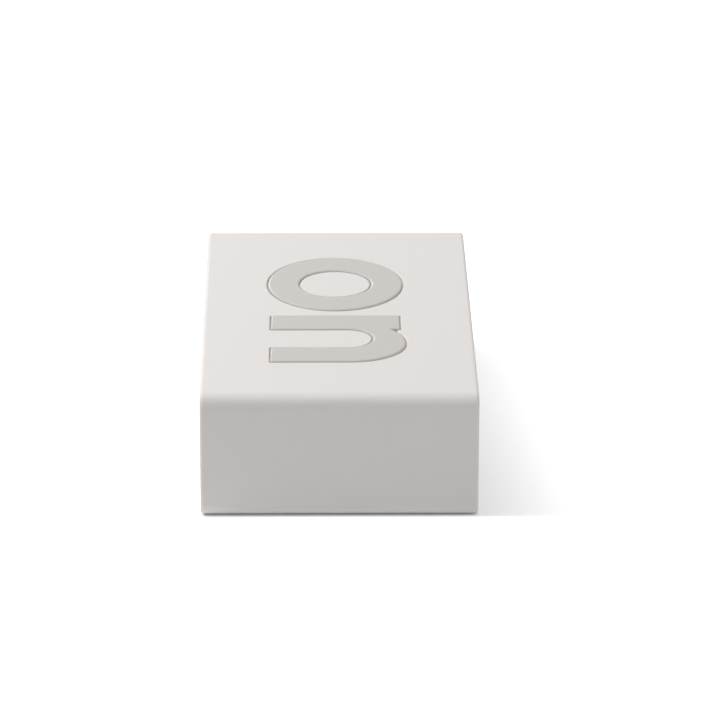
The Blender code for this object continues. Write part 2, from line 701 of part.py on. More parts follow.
def make_display_lens():
    outline = rounded_rectangle(LENS_LENGTH, LENS_HEIGHT, LENS_CORNER_RADIUS)
    lens = span_slab("display_lens", [outline], FRONT_FACE, LENS_BACK, group=PARTS)
    paint(CLEAR_WINDOW, lens)


def make_display():
    """The glass and backlight layers; all but the front glass leave its contact ledge free below."""
    lower_half = FRONT_GLASS_HEIGHT / 2 - CONTACT_LEDGE
    upper_half = FRONT_GLASS_HEIGHT / 2
    layers = (
        ("lcd_front_glass", FRONT_GLASS_FRONT, GLASS_THICKNESS, upper_half, DISPLAY_GLASS),
        ("lcd_rear_glass", REAR_GLASS_FRONT, GLASS_THICKNESS, lower_half, DISPLAY_GLASS),
        ("diffuser_sheet", DIFFUSER_FRONT, DIFFUSER_THICKNESS, lower_half, WHITE_PLASTIC),
        ("reflector_sheet", REFLECTOR_FRONT, REFLECTOR_THICKNESS, lower_half, WHITE_PLASTIC),
    )
    for name, front, thickness, reach, finish in layers:
        layer = span_box(
            name,
            (-GLASS_LENGTH / 2, front, MID_HEIGHT - reach),
            (GLASS_LENGTH / 2, front + thickness, MID_HEIGHT + upper_half),
            PARTS,
        )
        paint(finish, layer)
    guide_half = GLASS_LENGTH / 2 - LED_LENGTH - GAP
    guide_back = LIGHT_GUIDE_FRONT + LIGHT_GUIDE_THICKNESS
    light_guide = span_box(
        "light_guide",
        (-guide_half, LIGHT_GUIDE_FRONT, MID_HEIGHT - lower_half),
        (guide_half, guide_back, MID_HEIGHT + upper_half),
        PARTS,
    )
    led = span_box(
        "backlight_led",
        (guide_half + GAP, LIGHT_GUIDE_FRONT, MID_HEIGHT - LED_HEIGHT / 2),
        (GLASS_LENGTH / 2, guide_back, MID_HEIGHT + LED_HEIGHT / 2),
        PARTS,
    )
    paint(CLEAR_WINDOW, light_guide)
    paint(WHITE_PLASTIC, led)


def make_display_frame():
    inner_length = GLASS_LENGTH + 2 * GAP
    inner_height = FRONT_GLASS_HEIGHT + 2 * GAP
    outer = rounded_rectangle(FRAME_LENGTH, FRAME_HEIGHT, FRAME_WALL)
    frame = span_slab("display_frame", [outer], FRONT_GLASS_FRONT, SKIRT_BACK, group=PARTS)
    cut(frame, span_box(
        "display_frame_inside",
        (-inner_length / 2, FRONT_GLASS_FRONT - CUTTER_OVERRUN, MID_HEIGHT - inner_height / 2),
        (inner_length / 2, SKIRT_BACK + CUTTER_OVERRUN, MID_HEIGHT + inner_height / 2),
    ))
    paint(WHITE_PLASTIC, frame)


def make_zebra_strip():
    low_z = MID_HEIGHT - FRONT_GLASS_HEIGHT / 2
    strip = span_box(
        "zebra_strip",
        (-GLASS_LENGTH / 2 + ZEBRA_INSET, FRONT_GLASS_FRONT + GLASS_THICKNESS + GAP, low_z),
        (GLASS_LENGTH / 2 - ZEBRA_INSET, SKIRT_BACK, low_z + CONTACT_LEDGE - GAP),
        PARTS,
    )
    paint(BLACK_RUBBER, strip)


# Main board and what it carries

def make_main_board():
    size = (MAIN_BOARD_LENGTH, BOARD_THICKNESS, MAIN_BOARD_HEIGHT)
    board = box("main_board", size, (0, BOARD_FRONT + BOARD_THICKNESS / 2, MID_HEIGHT), PARTS)
    for number, x, z in corners(POST_X, POST_Z):
        low = BOARD_FRONT - CUTTER_OVERRUN
        high = BOARD_BACK + CUTTER_OVERRUN
        cut(board, span_rod(f"board_hole_{number}", BOARD_SCREW_RADIUS + GAP, low, high, x, z))
    paint(BOARD_GREEN, board)


def make_controller_blob():
    dome_radius = (BLOB_RADIUS ** 2 + BLOB_HEIGHT ** 2) / (2 * BLOB_HEIGHT)
    edge_angle = math.degrees(math.asin(BLOB_RADIUS / dome_radius))
    middle = (0, BLOB_HEIGHT - dome_radius)
    crown = arc(middle, (dome_radius, dome_radius), 90, 90 - edge_angle, CORNER_STEPS)
    blob = turned("controller_blob", crown + [(0, 0)], (BLOB_X, PARTS_FRONT, MID_HEIGHT), "Y")
    paint(BLACK_RUBBER, blob)


def make_crystal():
    place = (CRYSTAL_X, PARTS_FRONT + CRYSTAL_RADIUS, MID_HEIGHT)
    crystal = rod("crystal", CRYSTAL_RADIUS, CRYSTAL_LENGTH, place, "Z", SMALL_ROUND_STEPS, PARTS)
    paint(STEEL, crystal)


def make_capacitor():
    neck = CAPACITOR_RADIUS - CAPACITOR_GROOVE
    groove_low = CAPACITOR_RADIUS / 2
    profile = (
        (0, CAPACITOR_LENGTH),
        (neck, CAPACITOR_LENGTH),
        (CAPACITOR_RADIUS, CAPACITOR_LENGTH - CAPACITOR_GROOVE),
        (CAPACITOR_RADIUS, groove_low + CAPACITOR_GROOVE),
        (neck, groove_low),
        (CAPACITOR_RADIUS, groove_low - CAPACITOR_GROOVE),
        (CAPACITOR_RADIUS, 0),
        (0, 0),
    )
    capacitor = turned("capacitor", profile, (CAPACITOR_X, PARTS_FRONT, MID_HEIGHT), "Y")
    paint(BLACK_INSULATION, capacitor)


def make_tilt_switch():
    """A ball in an upright can: it falls to the other end when the clock is turned over."""
    place = Vector((TILT_X, PARTS_FRONT + TILT_CAN_RADIUS, MID_HEIGHT))
    half = TILT_CAN_LENGTH / 2
    can_profile = (
        (0, half),
        (TILT_CAN_RADIUS, half),
        (TILT_CAN_RADIUS, -half),
        (TILT_BORE_RADIUS, -half),
        (TILT_BORE_RADIUS, half - TILT_CAN_WALL),
        (0, half - TILT_CAN_WALL),
    )
    can = turned("tilt_switch_can", can_profile, place)
    base_z = place.z - half + TILT_BASE_LENGTH / 2
    base = rod(
        "tilt_switch_base", TILT_BORE_RADIUS - GAP, TILT_BASE_LENGTH, (place.x, place.y, base_z),
        "Z", SMALL_ROUND_STEPS, PARTS,
    )
    for side in (-1, 1):
        pin_length = TILT_PIN_LENGTH + TILT_BASE_LENGTH / 2
        pin_place = (place.x + side * TILT_PIN_SPAN / 2, place.y, base_z - pin_length / 2)
        pin_name = f"tilt_pin_{'left' if side < 0 else 'right'}"
        join(base, rod(pin_name, TILT_PIN_RADIUS, pin_length, pin_place, "Z", SMALL_ROUND_STEPS))
    ball_z = place.z - half + TILT_BASE_LENGTH + GAP + TILT_BALL_RADIUS
    mesh = bpy.data.meshes.new("tilt_switch_ball")
    shape = bmesh.new()
    bmesh.ops.create_uvsphere(
        shape, u_segments=SMALL_ROUND_STEPS, v_segments=SMALL_ROUND_STEPS // 2, radius=TILT_BALL_RADIUS
    )
    shape.to_mesh(mesh)
    shape.free()
    smooth(mesh)
    ball = add_object("tilt_switch_ball", mesh)
    ball.location = (place.x, place.y, ball_z)
    paint(STEEL, can, ball)
    paint(BLACK_RUBBER, base)
    travel = place.z + half - TILT_CAN_WALL - GAP - TILT_BALL_RADIUS - ball_z
    print(f"tilt_switch_ball travel {travel:.5f} m")


# Screws

def make_screw(name, place, radius, length, head_radius, head_height, axis):
    """A pan-head screw with a cross recess; place is the seat under its head."""
    profile = (
        (0, head_height),
        (head_radius - head_height / 2, head_height),
        (head_radius, head_height / 2),
        (head_radius, 0),
        (radius, 0),
        (radius, radius - length),
        (radius * SCREW_TIP_SHARE, -length),
        (0, -length),
    )
    screw = turned(name, profile, place, axis, SMALL_ROUND_STEPS)
    span = head_radius * SCREW_RECESS_SPAN_SHARE
    face = place[1] + head_height
    depth = 2 * SCREW_RECESS_DEPTH
    for suffix, size in (
        ("wide", (span, depth, SCREW_RECESS_WIDTH)),
        ("tall", (SCREW_RECESS_WIDTH, depth, span)),
    ):
        cut(screw, box(f"{name}_recess_{suffix}", size, (place[0], face, place[2])))
    paint(STEEL, screw)


def make_screws():
    for number, x, z in corners(POST_X, POST_Z):
        seat = (x, PARTS_FRONT, z)
        make_screw(
            f"board_screw_{number}", seat, BOARD_SCREW_RADIUS, BOARD_SCREW_LENGTH,
            BOARD_SCREW_HEAD_RADIUS, BOARD_SCREW_HEAD_HEIGHT, "Y",
        )
    for number, x, z in corners(BOSS_X, BOSS_Z):
        seat = (x, REAR_FACE - COVER_SCREW_SINK + GAP, z)
        make_screw(
            f"rear_screw_{number}", seat, REAR_SCREW_RADIUS, REAR_SCREW_LENGTH,
            REAR_SCREW_HEAD_RADIUS, REAR_SCREW_HEAD_HEIGHT, "Y",
        )


# Rear cover and battery bay

def button_places():
    first = BUTTON_BOARD_X - BUTTON_PITCH * (len(BUTTON_NAMES) - 1) / 2
    return [(name, index + 1, first + index * BUTTON_PITCH) for index, name in enumerate(BUTTON_NAMES)]


def peg_places():
    half = BUTTON_BOARD_LENGTH / 2 - PEG_INSET_X
    low_level = MID_HEIGHT - BUTTON_BOARD_HEIGHT / 2 + PEG_INSET_Z
    high_level = BUTTON_LEVEL - SWITCH_SIZE / 2 - PEG_SWITCH_SPACE - PEG_RADIUS
    places = []
    for level in (low_level, high_level):
        for side in (-1, 1):
            places.append((len(places) + 1, BUTTON_BOARD_X + side * half, level))
    return places


def tab_place(side):
    """Across and along place of the solder tab of a contact, upper or lower."""
    x = BAY_HIGH_X - GAP - CONTACT_THICKNESS / 2
    return x, MID_HEIGHT + side * CELL_SPREAD


def make_rear_cover():
    outline = rounded_rectangle(COVER_LENGTH, COVER_HEIGHT, CAVITY_RADIUS)
    cover = span_slab("rear_cover", [outline], COVER_BACK, REAR_FACE, group=PARTS)
    join(cover, span_box(
        "bay_tub",
        (BAY_LOW_X - BAY_HINGE_WALL, BAY_FLOOR_BACK, MID_HEIGHT - COVER_HEIGHT / 2),
        (BAY_HIGH_X + BAY_WALL, COVER_BACK + COVER_THICKNESS / 2, MID_HEIGHT + COVER_HEIGHT / 2),
    ))
    peg_tip = BUTTON_BOARD_BACK - PEG_EXTRA
    peg_root = COVER_BACK + COVER_THICKNESS / 2
    for number, x, z in peg_places():
        join(cover, span_rod(f"board_peg_{number}", PEG_RADIUS, peg_tip, peg_root, x, z))
    above = REAR_FACE + CUTTER_OVERRUN
    half_bay = BAY_HEIGHT / 2
    cut(cover, span_box(
        "bay_inside",
        (BAY_LOW_X, BAY_FLOOR_TOP, MID_HEIGHT - half_bay),
        (BAY_HIGH_X, above, MID_HEIGHT + half_bay),
    ))
    cut(cover, span_box(
        "door_recess",
        (BAY_MIDDLE_X, DOOR_BACK - GAP, MID_HEIGHT - half_bay),
        (BAY_HIGH_X + BAY_WALL, above, MID_HEIGHT + half_bay),
    ))
    cut(cover, span_box(
        "hinge_recess",
        (HINGE_RECESS_X, HINGE_Y - DOOR_BARREL_RADIUS - GAP, MID_HEIGHT - half_bay),
        (BAY_MIDDLE_X, above, MID_HEIGHT + half_bay),
    ))
    socket_length = COVER_HEIGHT + 2 * CUTTER_OVERRUN
    socket_place = (HINGE_X, HINGE_Y, MID_HEIGHT)
    cut(cover, rod(
        "hinge_socket", DOOR_PIN_RADIUS + GAP, socket_length, socket_place, "Z", SMALL_ROUND_STEPS
    ))
    notch_x = BAY_HIGH_X + BAY_WALL
    cut(cover, span_rod("finger_notch", NOTCH_RADIUS, REAR_FACE - NOTCH_DEPTH, above, notch_x, MID_HEIGHT))
    hole = rounded_rectangle(BUTTON_WIDTH + 2 * GAP, BUTTON_HEIGHT + 2 * GAP, BUTTON_HEIGHT / 2 + GAP)
    below = COVER_BACK - CUTTER_OVERRUN
    for name, _, x in button_places():
        cut(cover, span_slab(name + "_hole", [hole], below, above, x, BUTTON_LEVEL))
    slot = rounded_rectangle(SLOT_WIDTH, SLOT_HEIGHT, SLOT_WIDTH / 2, CORNER_STEPS // 2)
    for index in range(SLOT_COUNT):
        x = BUTTON_BOARD_X + (index - (SLOT_COUNT - 1) / 2) * SLOT_PITCH
        cut(cover, span_slab(f"sound_slot_{index + 1}", [slot], below, above, x, MID_HEIGHT - BUZZER_DROP))
    for number, x, z in corners(BOSS_X, BOSS_Z):
        cut(cover, span_rod(f"cover_hole_{number}", REAR_SCREW_RADIUS + GAP, below, above, x, z))
        sink = REAR_FACE - COVER_SCREW_SINK
        cut(cover, span_rod(f"cover_sink_{number}", REAR_SCREW_HEAD_RADIUS + GAP, sink, above, x, z))
    for number, side in ((1, -1), (2, 1)):
        x, z = tab_place(side)
        cut(cover, box(
            f"tab_slot_{number}",
            (CONTACT_THICKNESS + 2 * GAP, 2 * (BAY_FLOOR + GAP), CONTACT_TAB_WIDTH + 2 * GAP),
            (x, (BAY_FLOOR_TOP + BAY_FLOOR_BACK) / 2, z),
        ))
    paint(GREY_PLASTIC, cover)


def make_battery_door():
    """The door swings on its barrel; its origin is on the hinge axis, halfway up."""
    top = DOOR_BARREL_RADIUS
    back = top - DOOR_THICKNESS
    half = DOOR_HEIGHT / 2
    axis_place = Vector((HINGE_X, HINGE_Y, MID_HEIGHT))
    door = rod("battery_door", DOOR_BARREL_RADIUS, DOOR_HEIGHT, axis_place, "Z", ROUND_STEPS, PARTS)

    def door_box(name, low, high):
        return span_box(name, axis_place + Vector(low), axis_place + Vector(high))

    join(door, door_box("door_plate", (0, back, -half), (DOOR_LENGTH, top, half)))
    pin_reach = DOOR_HEIGHT + 2 * DOOR_PIN_LENGTH
    join(door, rod("door_pins", DOOR_PIN_RADIUS, pin_reach, axis_place, "Z", SMALL_ROUND_STEPS))
    slot_start = DOOR_LENGTH - TONGUE_LENGTH
    for side in (-1, 1):
        edge = side * TONGUE_WIDTH / 2
        name = f"tongue_slot_{'low' if side < 0 else 'high'}"
        low = (slot_start, back - CUTTER_OVERRUN, edge - TONGUE_SLOT / 2)
        high = (DOOR_LENGTH + CUTTER_OVERRUN, top + CUTTER_OVERRUN, edge + TONGUE_SLOT / 2)
        cut(door, door_box(name, low, high))
    for index in range(RIDGE_COUNT):
        x = DOOR_LENGTH - (index + 1) * RIDGE_PITCH
        low = (x - RIDGE_WIDTH / 2, top - RIDGE_HEIGHT, -RIDGE_LENGTH / 2)
        high = (x + RIDGE_WIDTH / 2, top + RIDGE_HEIGHT, RIDGE_LENGTH / 2)
        join(door, door_box(f"grip_ridge_{index + 1}", low, high))
    paint(GREY_PLASTIC, door)


# Cells and contacts

def make_battery_cells():
    """Two cells side by side, facing opposite ways; each nub lies near its contact plate."""
    profile = (
        (0, CELL_LENGTH),
        (CELL_NUB_RADIUS, CELL_LENGTH),
        (CELL_NUB_RADIUS, CELL_LENGTH - CELL_NUB_LENGTH),
        (CELL_RADIUS - CELL_EDGE, CELL_LENGTH - CELL_NUB_LENGTH),
        (CELL_RADIUS, CELL_LENGTH - CELL_NUB_LENGTH - CELL_EDGE),
        (CELL_RADIUS, CELL_EDGE),
        (CELL_RADIUS - CELL_EDGE, 0),
        (0, 0),
    )
    plate_side = 2 * GAP + CONTACT_THICKNESS
    lower_start = BAY_HIGH_X - plate_side - CELL_LENGTH
    upper_start = BAY_LOW_X + plate_side + CELL_LENGTH
    lower = turned("battery_cell_1", profile, (lower_start, CELL_Y, MID_HEIGHT - CELL_SPREAD), "X")
    upper = turned("battery_cell_2", profile, (upper_start, CELL_Y, MID_HEIGHT + CELL_SPREAD), "-X")
    paint(CELL_LABEL, lower, upper)


def make_contacts():
    link_x = BAY_LOW_X + GAP
    link_half = CELL_SPREAD + CONTACT_WIDTH / 2
    link = span_box(
        "contact_link_plate",
        (link_x, CONTACT_LOW_Y, MID_HEIGHT - link_half),
        (link_x + CONTACT_THICKNESS, CONTACT_HIGH_Y, MID_HEIGHT + link_half),
        PARTS,
    )
    paint(STEEL, link)
    tab_tip = BAY_FLOOR_BACK - CONTACT_TAB_REACH
    tab_root = CONTACT_LOW_Y + CONTACT_TAB_REACH
    for name, side in (("contact_plate_positive", -1), ("contact_plate_negative", 1)):
        x, z = tab_place(side)
        low_x = x - CONTACT_THICKNESS / 2
        high_x = x + CONTACT_THICKNESS / 2
        plate = span_box(
            name,
            (low_x, CONTACT_LOW_Y, z - CONTACT_WIDTH / 2),
            (high_x, CONTACT_HIGH_Y, z + CONTACT_WIDTH / 2),
            PARTS,
        )
        join(plate, span_box(
            name + "_tab",
            (low_x, tab_tip, z - CONTACT_TAB_WIDTH / 2),
            (high_x, tab_root, z + CONTACT_TAB_WIDTH / 2),
        ))
        paint(STEEL, plate)


def helix(start, direction, level):
    """Points of a coned coil whose wide end is at start and whose axis runs along X."""
    count = int(SPRING_TURNS * SPRING_POINTS_PER_TURN)
    reach = SPRING_LENGTH - 2 * SPRING_WIRE_RADIUS
    points = []
    for index in range(count + 1):
        share = index / count
        angle = 2 * math.pi * SPRING_TURNS * share
        radius = SPRING_BASE_RADIUS + (SPRING_TIP_RADIUS - SPRING_BASE_RADIUS) * share
        points.append(Vector((
            start + direction * (SPRING_WIRE_RADIUS + reach * share),
            CELL_Y + radius * math.cos(angle),
            level + radius * math.sin(angle),
        )))
    return points


def tube(name, points, radius, finish, resolution=1):
    """A round wire along a list of points, with closed ends."""
    curve = bpy.data.curves.new(name, "CURVE")
    curve.dimensions = "3D"
    curve.bevel_depth = radius
    curve.bevel_resolution = resolution
    curve.use_fill_caps = True
    spline = curve.splines.new("POLY")
    spline.points.add(len(points) - 1)
    origin = Vector(points[0])
    for knot, point in zip(spline.points, points):
        knot.co = (*(Vector(point) - origin), 1)
    wire = add_object(name, curve)
    wire.location = origin
    paint(finish, wire)
    return wire


def least_coil_gap(points):
    """The least space between a coil's wire and its own next turn."""
    near = int(SPRING_POINTS_PER_TURN / 2)
    distances = [
        (points[first] - points[second]).length
        for first in range(len(points))
        for second in range(first + near, len(points))
    ]
    return min(distances) - 2 * SPRING_WIRE_RADIUS


def make_battery_springs():
    lower = helix(BAY_LOW_X + 2 * GAP + CONTACT_THICKNESS, 1, MID_HEIGHT - CELL_SPREAD)
    upper = helix(BAY_HIGH_X - 2 * GAP - CONTACT_THICKNESS, -1, MID_HEIGHT + CELL_SPREAD)
    tube("battery_spring_1", lower, SPRING_WIRE_RADIUS, STEEL)
    tube("battery_spring_2", upper, SPRING_WIRE_RADIUS, STEEL)
    print(f"battery spring least gap to itself {least_coil_gap(lower):.5f} m")


# Buttons, switches and buzzer

def make_buttons():
    level = BUTTON_LEVEL
    cap_outline = rounded_rectangle(BUTTON_WIDTH, BUTTON_HEIGHT, BUTTON_HEIGHT / 2)
    flange_outline = rounded_rectangle(
        BUTTON_WIDTH + 2 * FLANGE_MARGIN, BUTTON_HEIGHT + 2 * FLANGE_MARGIN, BUTTON_HEIGHT / 2
    )
    cap_top = REAR_FACE + BUTTON_RISE
    flange_middle = FLANGE_BACK + FLANGE_THICKNESS / 2
    flange_top = FLANGE_BACK + FLANGE_THICKNESS
    for name, number, x in button_places():
        button = span_slab(
            name, [cap_outline], flange_middle, cap_top, x, level, BUTTON_EDGE_RADIUS, PARTS
        )
        join(button, span_slab(name + "_flange", [flange_outline], FLANGE_BACK, flange_top, x, level))
        join(button, span_rod(name + "_plunger", PLUNGER_RADIUS, PLUNGER_TIP, flange_middle, x, level))
        paint(WHITE_PLASTIC, button)
        stem_back = STEM_TOP - STEM_LENGTH
        stem = span_rod(f"switch_stem_{number}", STEM_RADIUS, stem_back, STEM_TOP, x, level, group=PARTS)
        paint(BLACK_RUBBER, stem)
        body = span_box(
            f"switch_body_{number}",
            (x - SWITCH_SIZE / 2, SWITCH_BACK, level - SWITCH_SIZE / 2),
            (x + SWITCH_SIZE / 2, SWITCH_TOP, level + SWITCH_SIZE / 2),
            PARTS,
        )
        bore_back = stem_back - BUTTON_TRAVEL - GAP
        cut(body, span_rod(
            f"switch_bore_{number}", STEM_RADIUS + GAP, bore_back, SWITCH_TOP + CUTTER_OVERRUN, x, level
        ))
        paint(DARK_PLASTIC, body)


def make_button_board():
    size = (BUTTON_BOARD_LENGTH, BOARD_THICKNESS, BUTTON_BOARD_HEIGHT)
    place = (BUTTON_BOARD_X, (BUTTON_BOARD_TOP + BUTTON_BOARD_BACK) / 2, MID_HEIGHT)
    board = box("button_board", size, place, PARTS)
    for number, x, z in peg_places():
        low = BUTTON_BOARD_BACK - CUTTER_OVERRUN
        high = BUTTON_BOARD_TOP + CUTTER_OVERRUN
        cut(board, span_rod(f"peg_hole_{number}", PEG_RADIUS + GAP, low, high, x, z))
    paint(BOARD_GREEN, board)


def make_buzzer():
    profile = (
        (BUZZER_PORT_RADIUS, BUZZER_HEIGHT - BUZZER_PORT_DEPTH),
        (BUZZER_PORT_RADIUS, BUZZER_HEIGHT),
        (BUZZER_RADIUS - BUZZER_PORT_RADIUS / 2, BUZZER_HEIGHT),
        (BUZZER_RADIUS, BUZZER_HEIGHT - BUZZER_PORT_RADIUS / 2),
        (BUZZER_RADIUS, 0),
        (0, 0),
    )
    place = (BUTTON_BOARD_X, BUTTON_BOARD_TOP + GAP, MID_HEIGHT - BUZZER_DROP)
    buzzer = turned("buzzer", ((0, BUZZER_HEIGHT - BUZZER_PORT_DEPTH),) + profile, place, "Y")
    paint(DARK_PLASTIC, buzzer)


# Wiring

def bezier_points(start, start_pull, end, end_pull, steps):
    """Points along one smooth bend between two places."""
    points = []
    for index in range(steps + 1):
        share = index / steps
        rest = 1 - share
        points.append(
            start * rest ** 3
            + start_pull * 3 * rest ** 2 * share
            + end_pull * 3 * rest * share ** 2
            + end * share ** 3
        )
    return points


def make_leads():
    """From each solder tab forward to the main board."""
    for name, side, finish in (("red_lead", -1, RED_INSULATION), ("black_lead", 1, BLACK_INSULATION)):
        tab_x, tab_z = tab_place(side)
        start = Vector((tab_x, BAY_FLOOR_BACK - CONTACT_TAB_REACH - GAP, tab_z))
        end_x = LEAD_BOARD_X - side * CONTACT_TAB_WIDTH
        end = Vector((end_x, PARTS_FRONT, MID_HEIGHT + side * CELL_SPREAD / 2))
        pull = Vector((0, (start.y - end.y) / 2, 0))
        tube(name, bezier_points(start, start - pull, end, end + pull, LEAD_STEPS), LEAD_RADIUS, finish)


def make_ribbon_cable():
    """A flat cable that leaves the button board square to it and reaches the main board so."""
    start = Vector((BUTTON_BOARD_X, BUTTON_BOARD_BACK - GAP, 0))
    end = Vector((BUTTON_BOARD_X + RIBBON_SHIFT, PARTS_FRONT, 0))
    pull = Vector((0, RIBBON_PULL, 0))
    path = bezier_points(start, start - pull, end, end + pull, RIBBON_STEPS)
    mesh = bpy.data.meshes.new("ribbon_cable")
    shape = bmesh.new()
    rows = []
    for point in path:
        edge = [shape.verts.new((point.x, point.y, side * RIBBON_WIDTH / 2)) for side in (-1, 1)]
        rows.append(edge)
    for row, next_row in zip(rows, rows[1:]):
        shape.faces.new((row[0], row[1], next_row[1], next_row[0]))
    shape.to_mesh(mesh)
    shape.free()
    smooth(mesh)
    cable = add_object("ribbon_cable", mesh)
    cable.location = (0, 0, MID_HEIGHT)
    wall = cable.modifiers.new("thickness", "SOLIDIFY")
    wall.thickness = RIBBON_THICKNESS
    wall.offset = 0
    wall.use_even_offset = True
    paint(GREY_PLASTIC, cable)


def main():
    make_case_sleeve()
    make_letters()
    make_front_bezel()
    make_display_lens()
    make_display()
    make_display_frame()
    make_zebra_strip()
    make_main_board()
    make_controller_blob()
    make_crystal()
    make_capacitor()
    make_tilt_switch()
    make_screws()
    make_rear_cover()
    make_battery_door()
    make_battery_cells()
    make_contacts()
    make_battery_springs()
    make_buttons()
    make_button_board()
    make_buzzer()
    make_leads()
    make_ribbon_cable()


main()
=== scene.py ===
import math

import bmesh
import bpy
from bpy.props import FloatProperty, FloatVectorProperty, PointerProperty, StringProperty
from bpy.types import Operator, Panel, PropertyGroup
from mathutils import Matrix, Vector


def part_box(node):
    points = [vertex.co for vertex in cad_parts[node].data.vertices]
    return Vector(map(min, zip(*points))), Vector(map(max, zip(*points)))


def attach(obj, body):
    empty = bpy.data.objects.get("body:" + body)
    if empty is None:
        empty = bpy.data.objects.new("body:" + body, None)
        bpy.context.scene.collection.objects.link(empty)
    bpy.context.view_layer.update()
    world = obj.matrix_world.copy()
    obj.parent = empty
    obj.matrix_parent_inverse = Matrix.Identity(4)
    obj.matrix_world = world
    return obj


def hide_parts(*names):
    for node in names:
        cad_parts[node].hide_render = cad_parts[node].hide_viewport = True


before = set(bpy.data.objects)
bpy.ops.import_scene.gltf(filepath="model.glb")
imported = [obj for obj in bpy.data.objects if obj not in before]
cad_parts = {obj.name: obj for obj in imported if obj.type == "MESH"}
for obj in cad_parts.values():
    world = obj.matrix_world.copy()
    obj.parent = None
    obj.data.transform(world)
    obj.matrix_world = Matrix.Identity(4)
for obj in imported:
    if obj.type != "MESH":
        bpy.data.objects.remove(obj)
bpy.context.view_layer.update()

bl_info = {
    "name": "Flip alarm clock",
    "version": (1, 0, 0),
    "blender": (4, 5, 0),
    "location": "3D View > Sidebar > Flip clock",
    "description": "Builds the finished pieces of a flip-over alarm clock round its frame",
    "category": "Object",
}

# Places and sizes of the pieces, in metres

MILLIMETRES = 1000.0
OVERRUN = 0.001
THROUGH = 0.003
SKIM = 0.00001
NEAR = 0.000001
MERGE_REACH = 0.0005
FIT = 0.0003
SMOOTH_ANGLE = math.radians(32)
ROUND_STEPS = 48
SMALL_STEPS = 24
POST_STEPS = 32
LARGE_STEPS = 64
PILL_STEPS = 12
SLOT_STEPS = 6
CORNER_STEPS = 8
FEW_CORNER_STEPS = 4
LETTER_STEPS = 96
RIM_STEPS = 4
LETTER_RIM_STEPS = 7
KEY_RIM_STEPS = 6
CORNER_SEGMENTS = 14
END_SEGMENTS = 6
FACING = 0.99

SLEEVE_LOW, SLEEVE_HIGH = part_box("case_sleeve")
COVER_LOW, COVER_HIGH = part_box("rear_cover")
BEZEL_LOW, BEZEL_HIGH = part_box("front_bezel")
LENS_LOW, LENS_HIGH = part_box("display_lens")
DOOR_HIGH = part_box("battery_door")[1]
GLASS_LOW, GLASS_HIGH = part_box("lcd_front_glass")
MIDDLE = (SLEEVE_LOW.z + SLEEVE_HIGH.z) / 2

BOSS_PLACE = (0.0462, 0.00925)
BOSS_RADIUS = 0.0027
BOSS_SPAN = (0.0100, 0.0269)
BOSS_WEB = 0.0022
PILOT_RADIUS = 0.0014
PILOT_BOTTOM = 0.0195
POST_PLACE = (0.0473, 0.00695)
POST_RADIUS = 0.0019
POST_ROOT = 0.0005
POST_PILOT_RADIUS = 0.0011
POST_PILOT_BOTTOM = -0.0250
PLATE_CORNER = 0.0012
WINDOW_SIZE = (0.086, 0.0152)
WINDOW_CORNER = 0.0008
WINDOW_DEPTH = 0.002
FRONT_RIM = 0.0002
LEDGE_SPAN = (-0.0277, -0.0266)
SKIRT_WALL = 0.0012

# Display: numerals, colon, bell and dot

DIGIT_SPACE = 0.0026
COLON_SPACE = 0.0034
COLON_DOT = (0.0013, 0.0013, 0.0002, 3)
COLON_RISE = 0.0021
SIGN_PLACE = (0.0075, 0.0030)
BELL_SIZE = 0.0036
DOT_RADIUS = 0.0016
BAR_SPACE_SHARE = 0.12
INK_THICKNESS = 0.00004
BARS = {
    "0": "abcdef", "1": "bc", "2": "abdeg", "3": "abcdg", "4": "bcfg", "5": "acdfg",
    "6": "acdefg", "7": "abc", "8": "abcdefg", "9": "abcdfg",
}

# Rear cover and battery door; a tuple holds a form's sizes in the order in which they are used

COVER_THICKNESS = 0.0020
TUB_X = (-0.0424, 0.0120)
TUB_BACK = 0.0154
BAY_X = (-0.0398, 0.0104)
BAY_FLOOR = 0.0166
BAY_HALF = 0.01095
DOOR_SEAT = 0.0273
HINGE_RECESS = (-0.0414, -0.0147, 0.0261)
HINGE_AXIS = Vector((-0.0397, 0.0278, MIDDLE))
BARREL_RADIUS = 0.0014
PIN_RADIUS = 0.0006
NOTCH = (0.0032, 0.0010)
SLOT = (0.0010, 0.0070, 0.0020, 5)
SINK = (0.0022, 0.0012)
PEG_RADIUS = 0.0008
PEG_TIP = 0.0175
PEG_PLACES = ((0.0145, 0.00505), (0.0413, 0.00505), (0.0145, 0.01625), (0.0413, 0.01625))
TAB_SLOT = (0.0010, 0.0030)
TAB_PLACES = ((0.0099, 0.0089), (0.0099, 0.0196))
DOOR_HALF = 0.01065
DOOR_THICKNESS = 0.0016
DOOR_CORNER = 0.0004
TONGUE = (0.0100, 0.0070, 0.0008)
RIDGES = (3, 0.0016, 0.0006, 0.0003, 0.0080)
RIDGE_SHOULDER_SHARE = 0.8
ARROW = ((-0.0012, 0.0), (0.0010, -0.0017), (0.0010, 0.0017))
ARROW_X = 0.0030
ARROW_DEPTH = 0.00018
ARROW_RIM = 0.00008

# Keys, screws, cells and springs

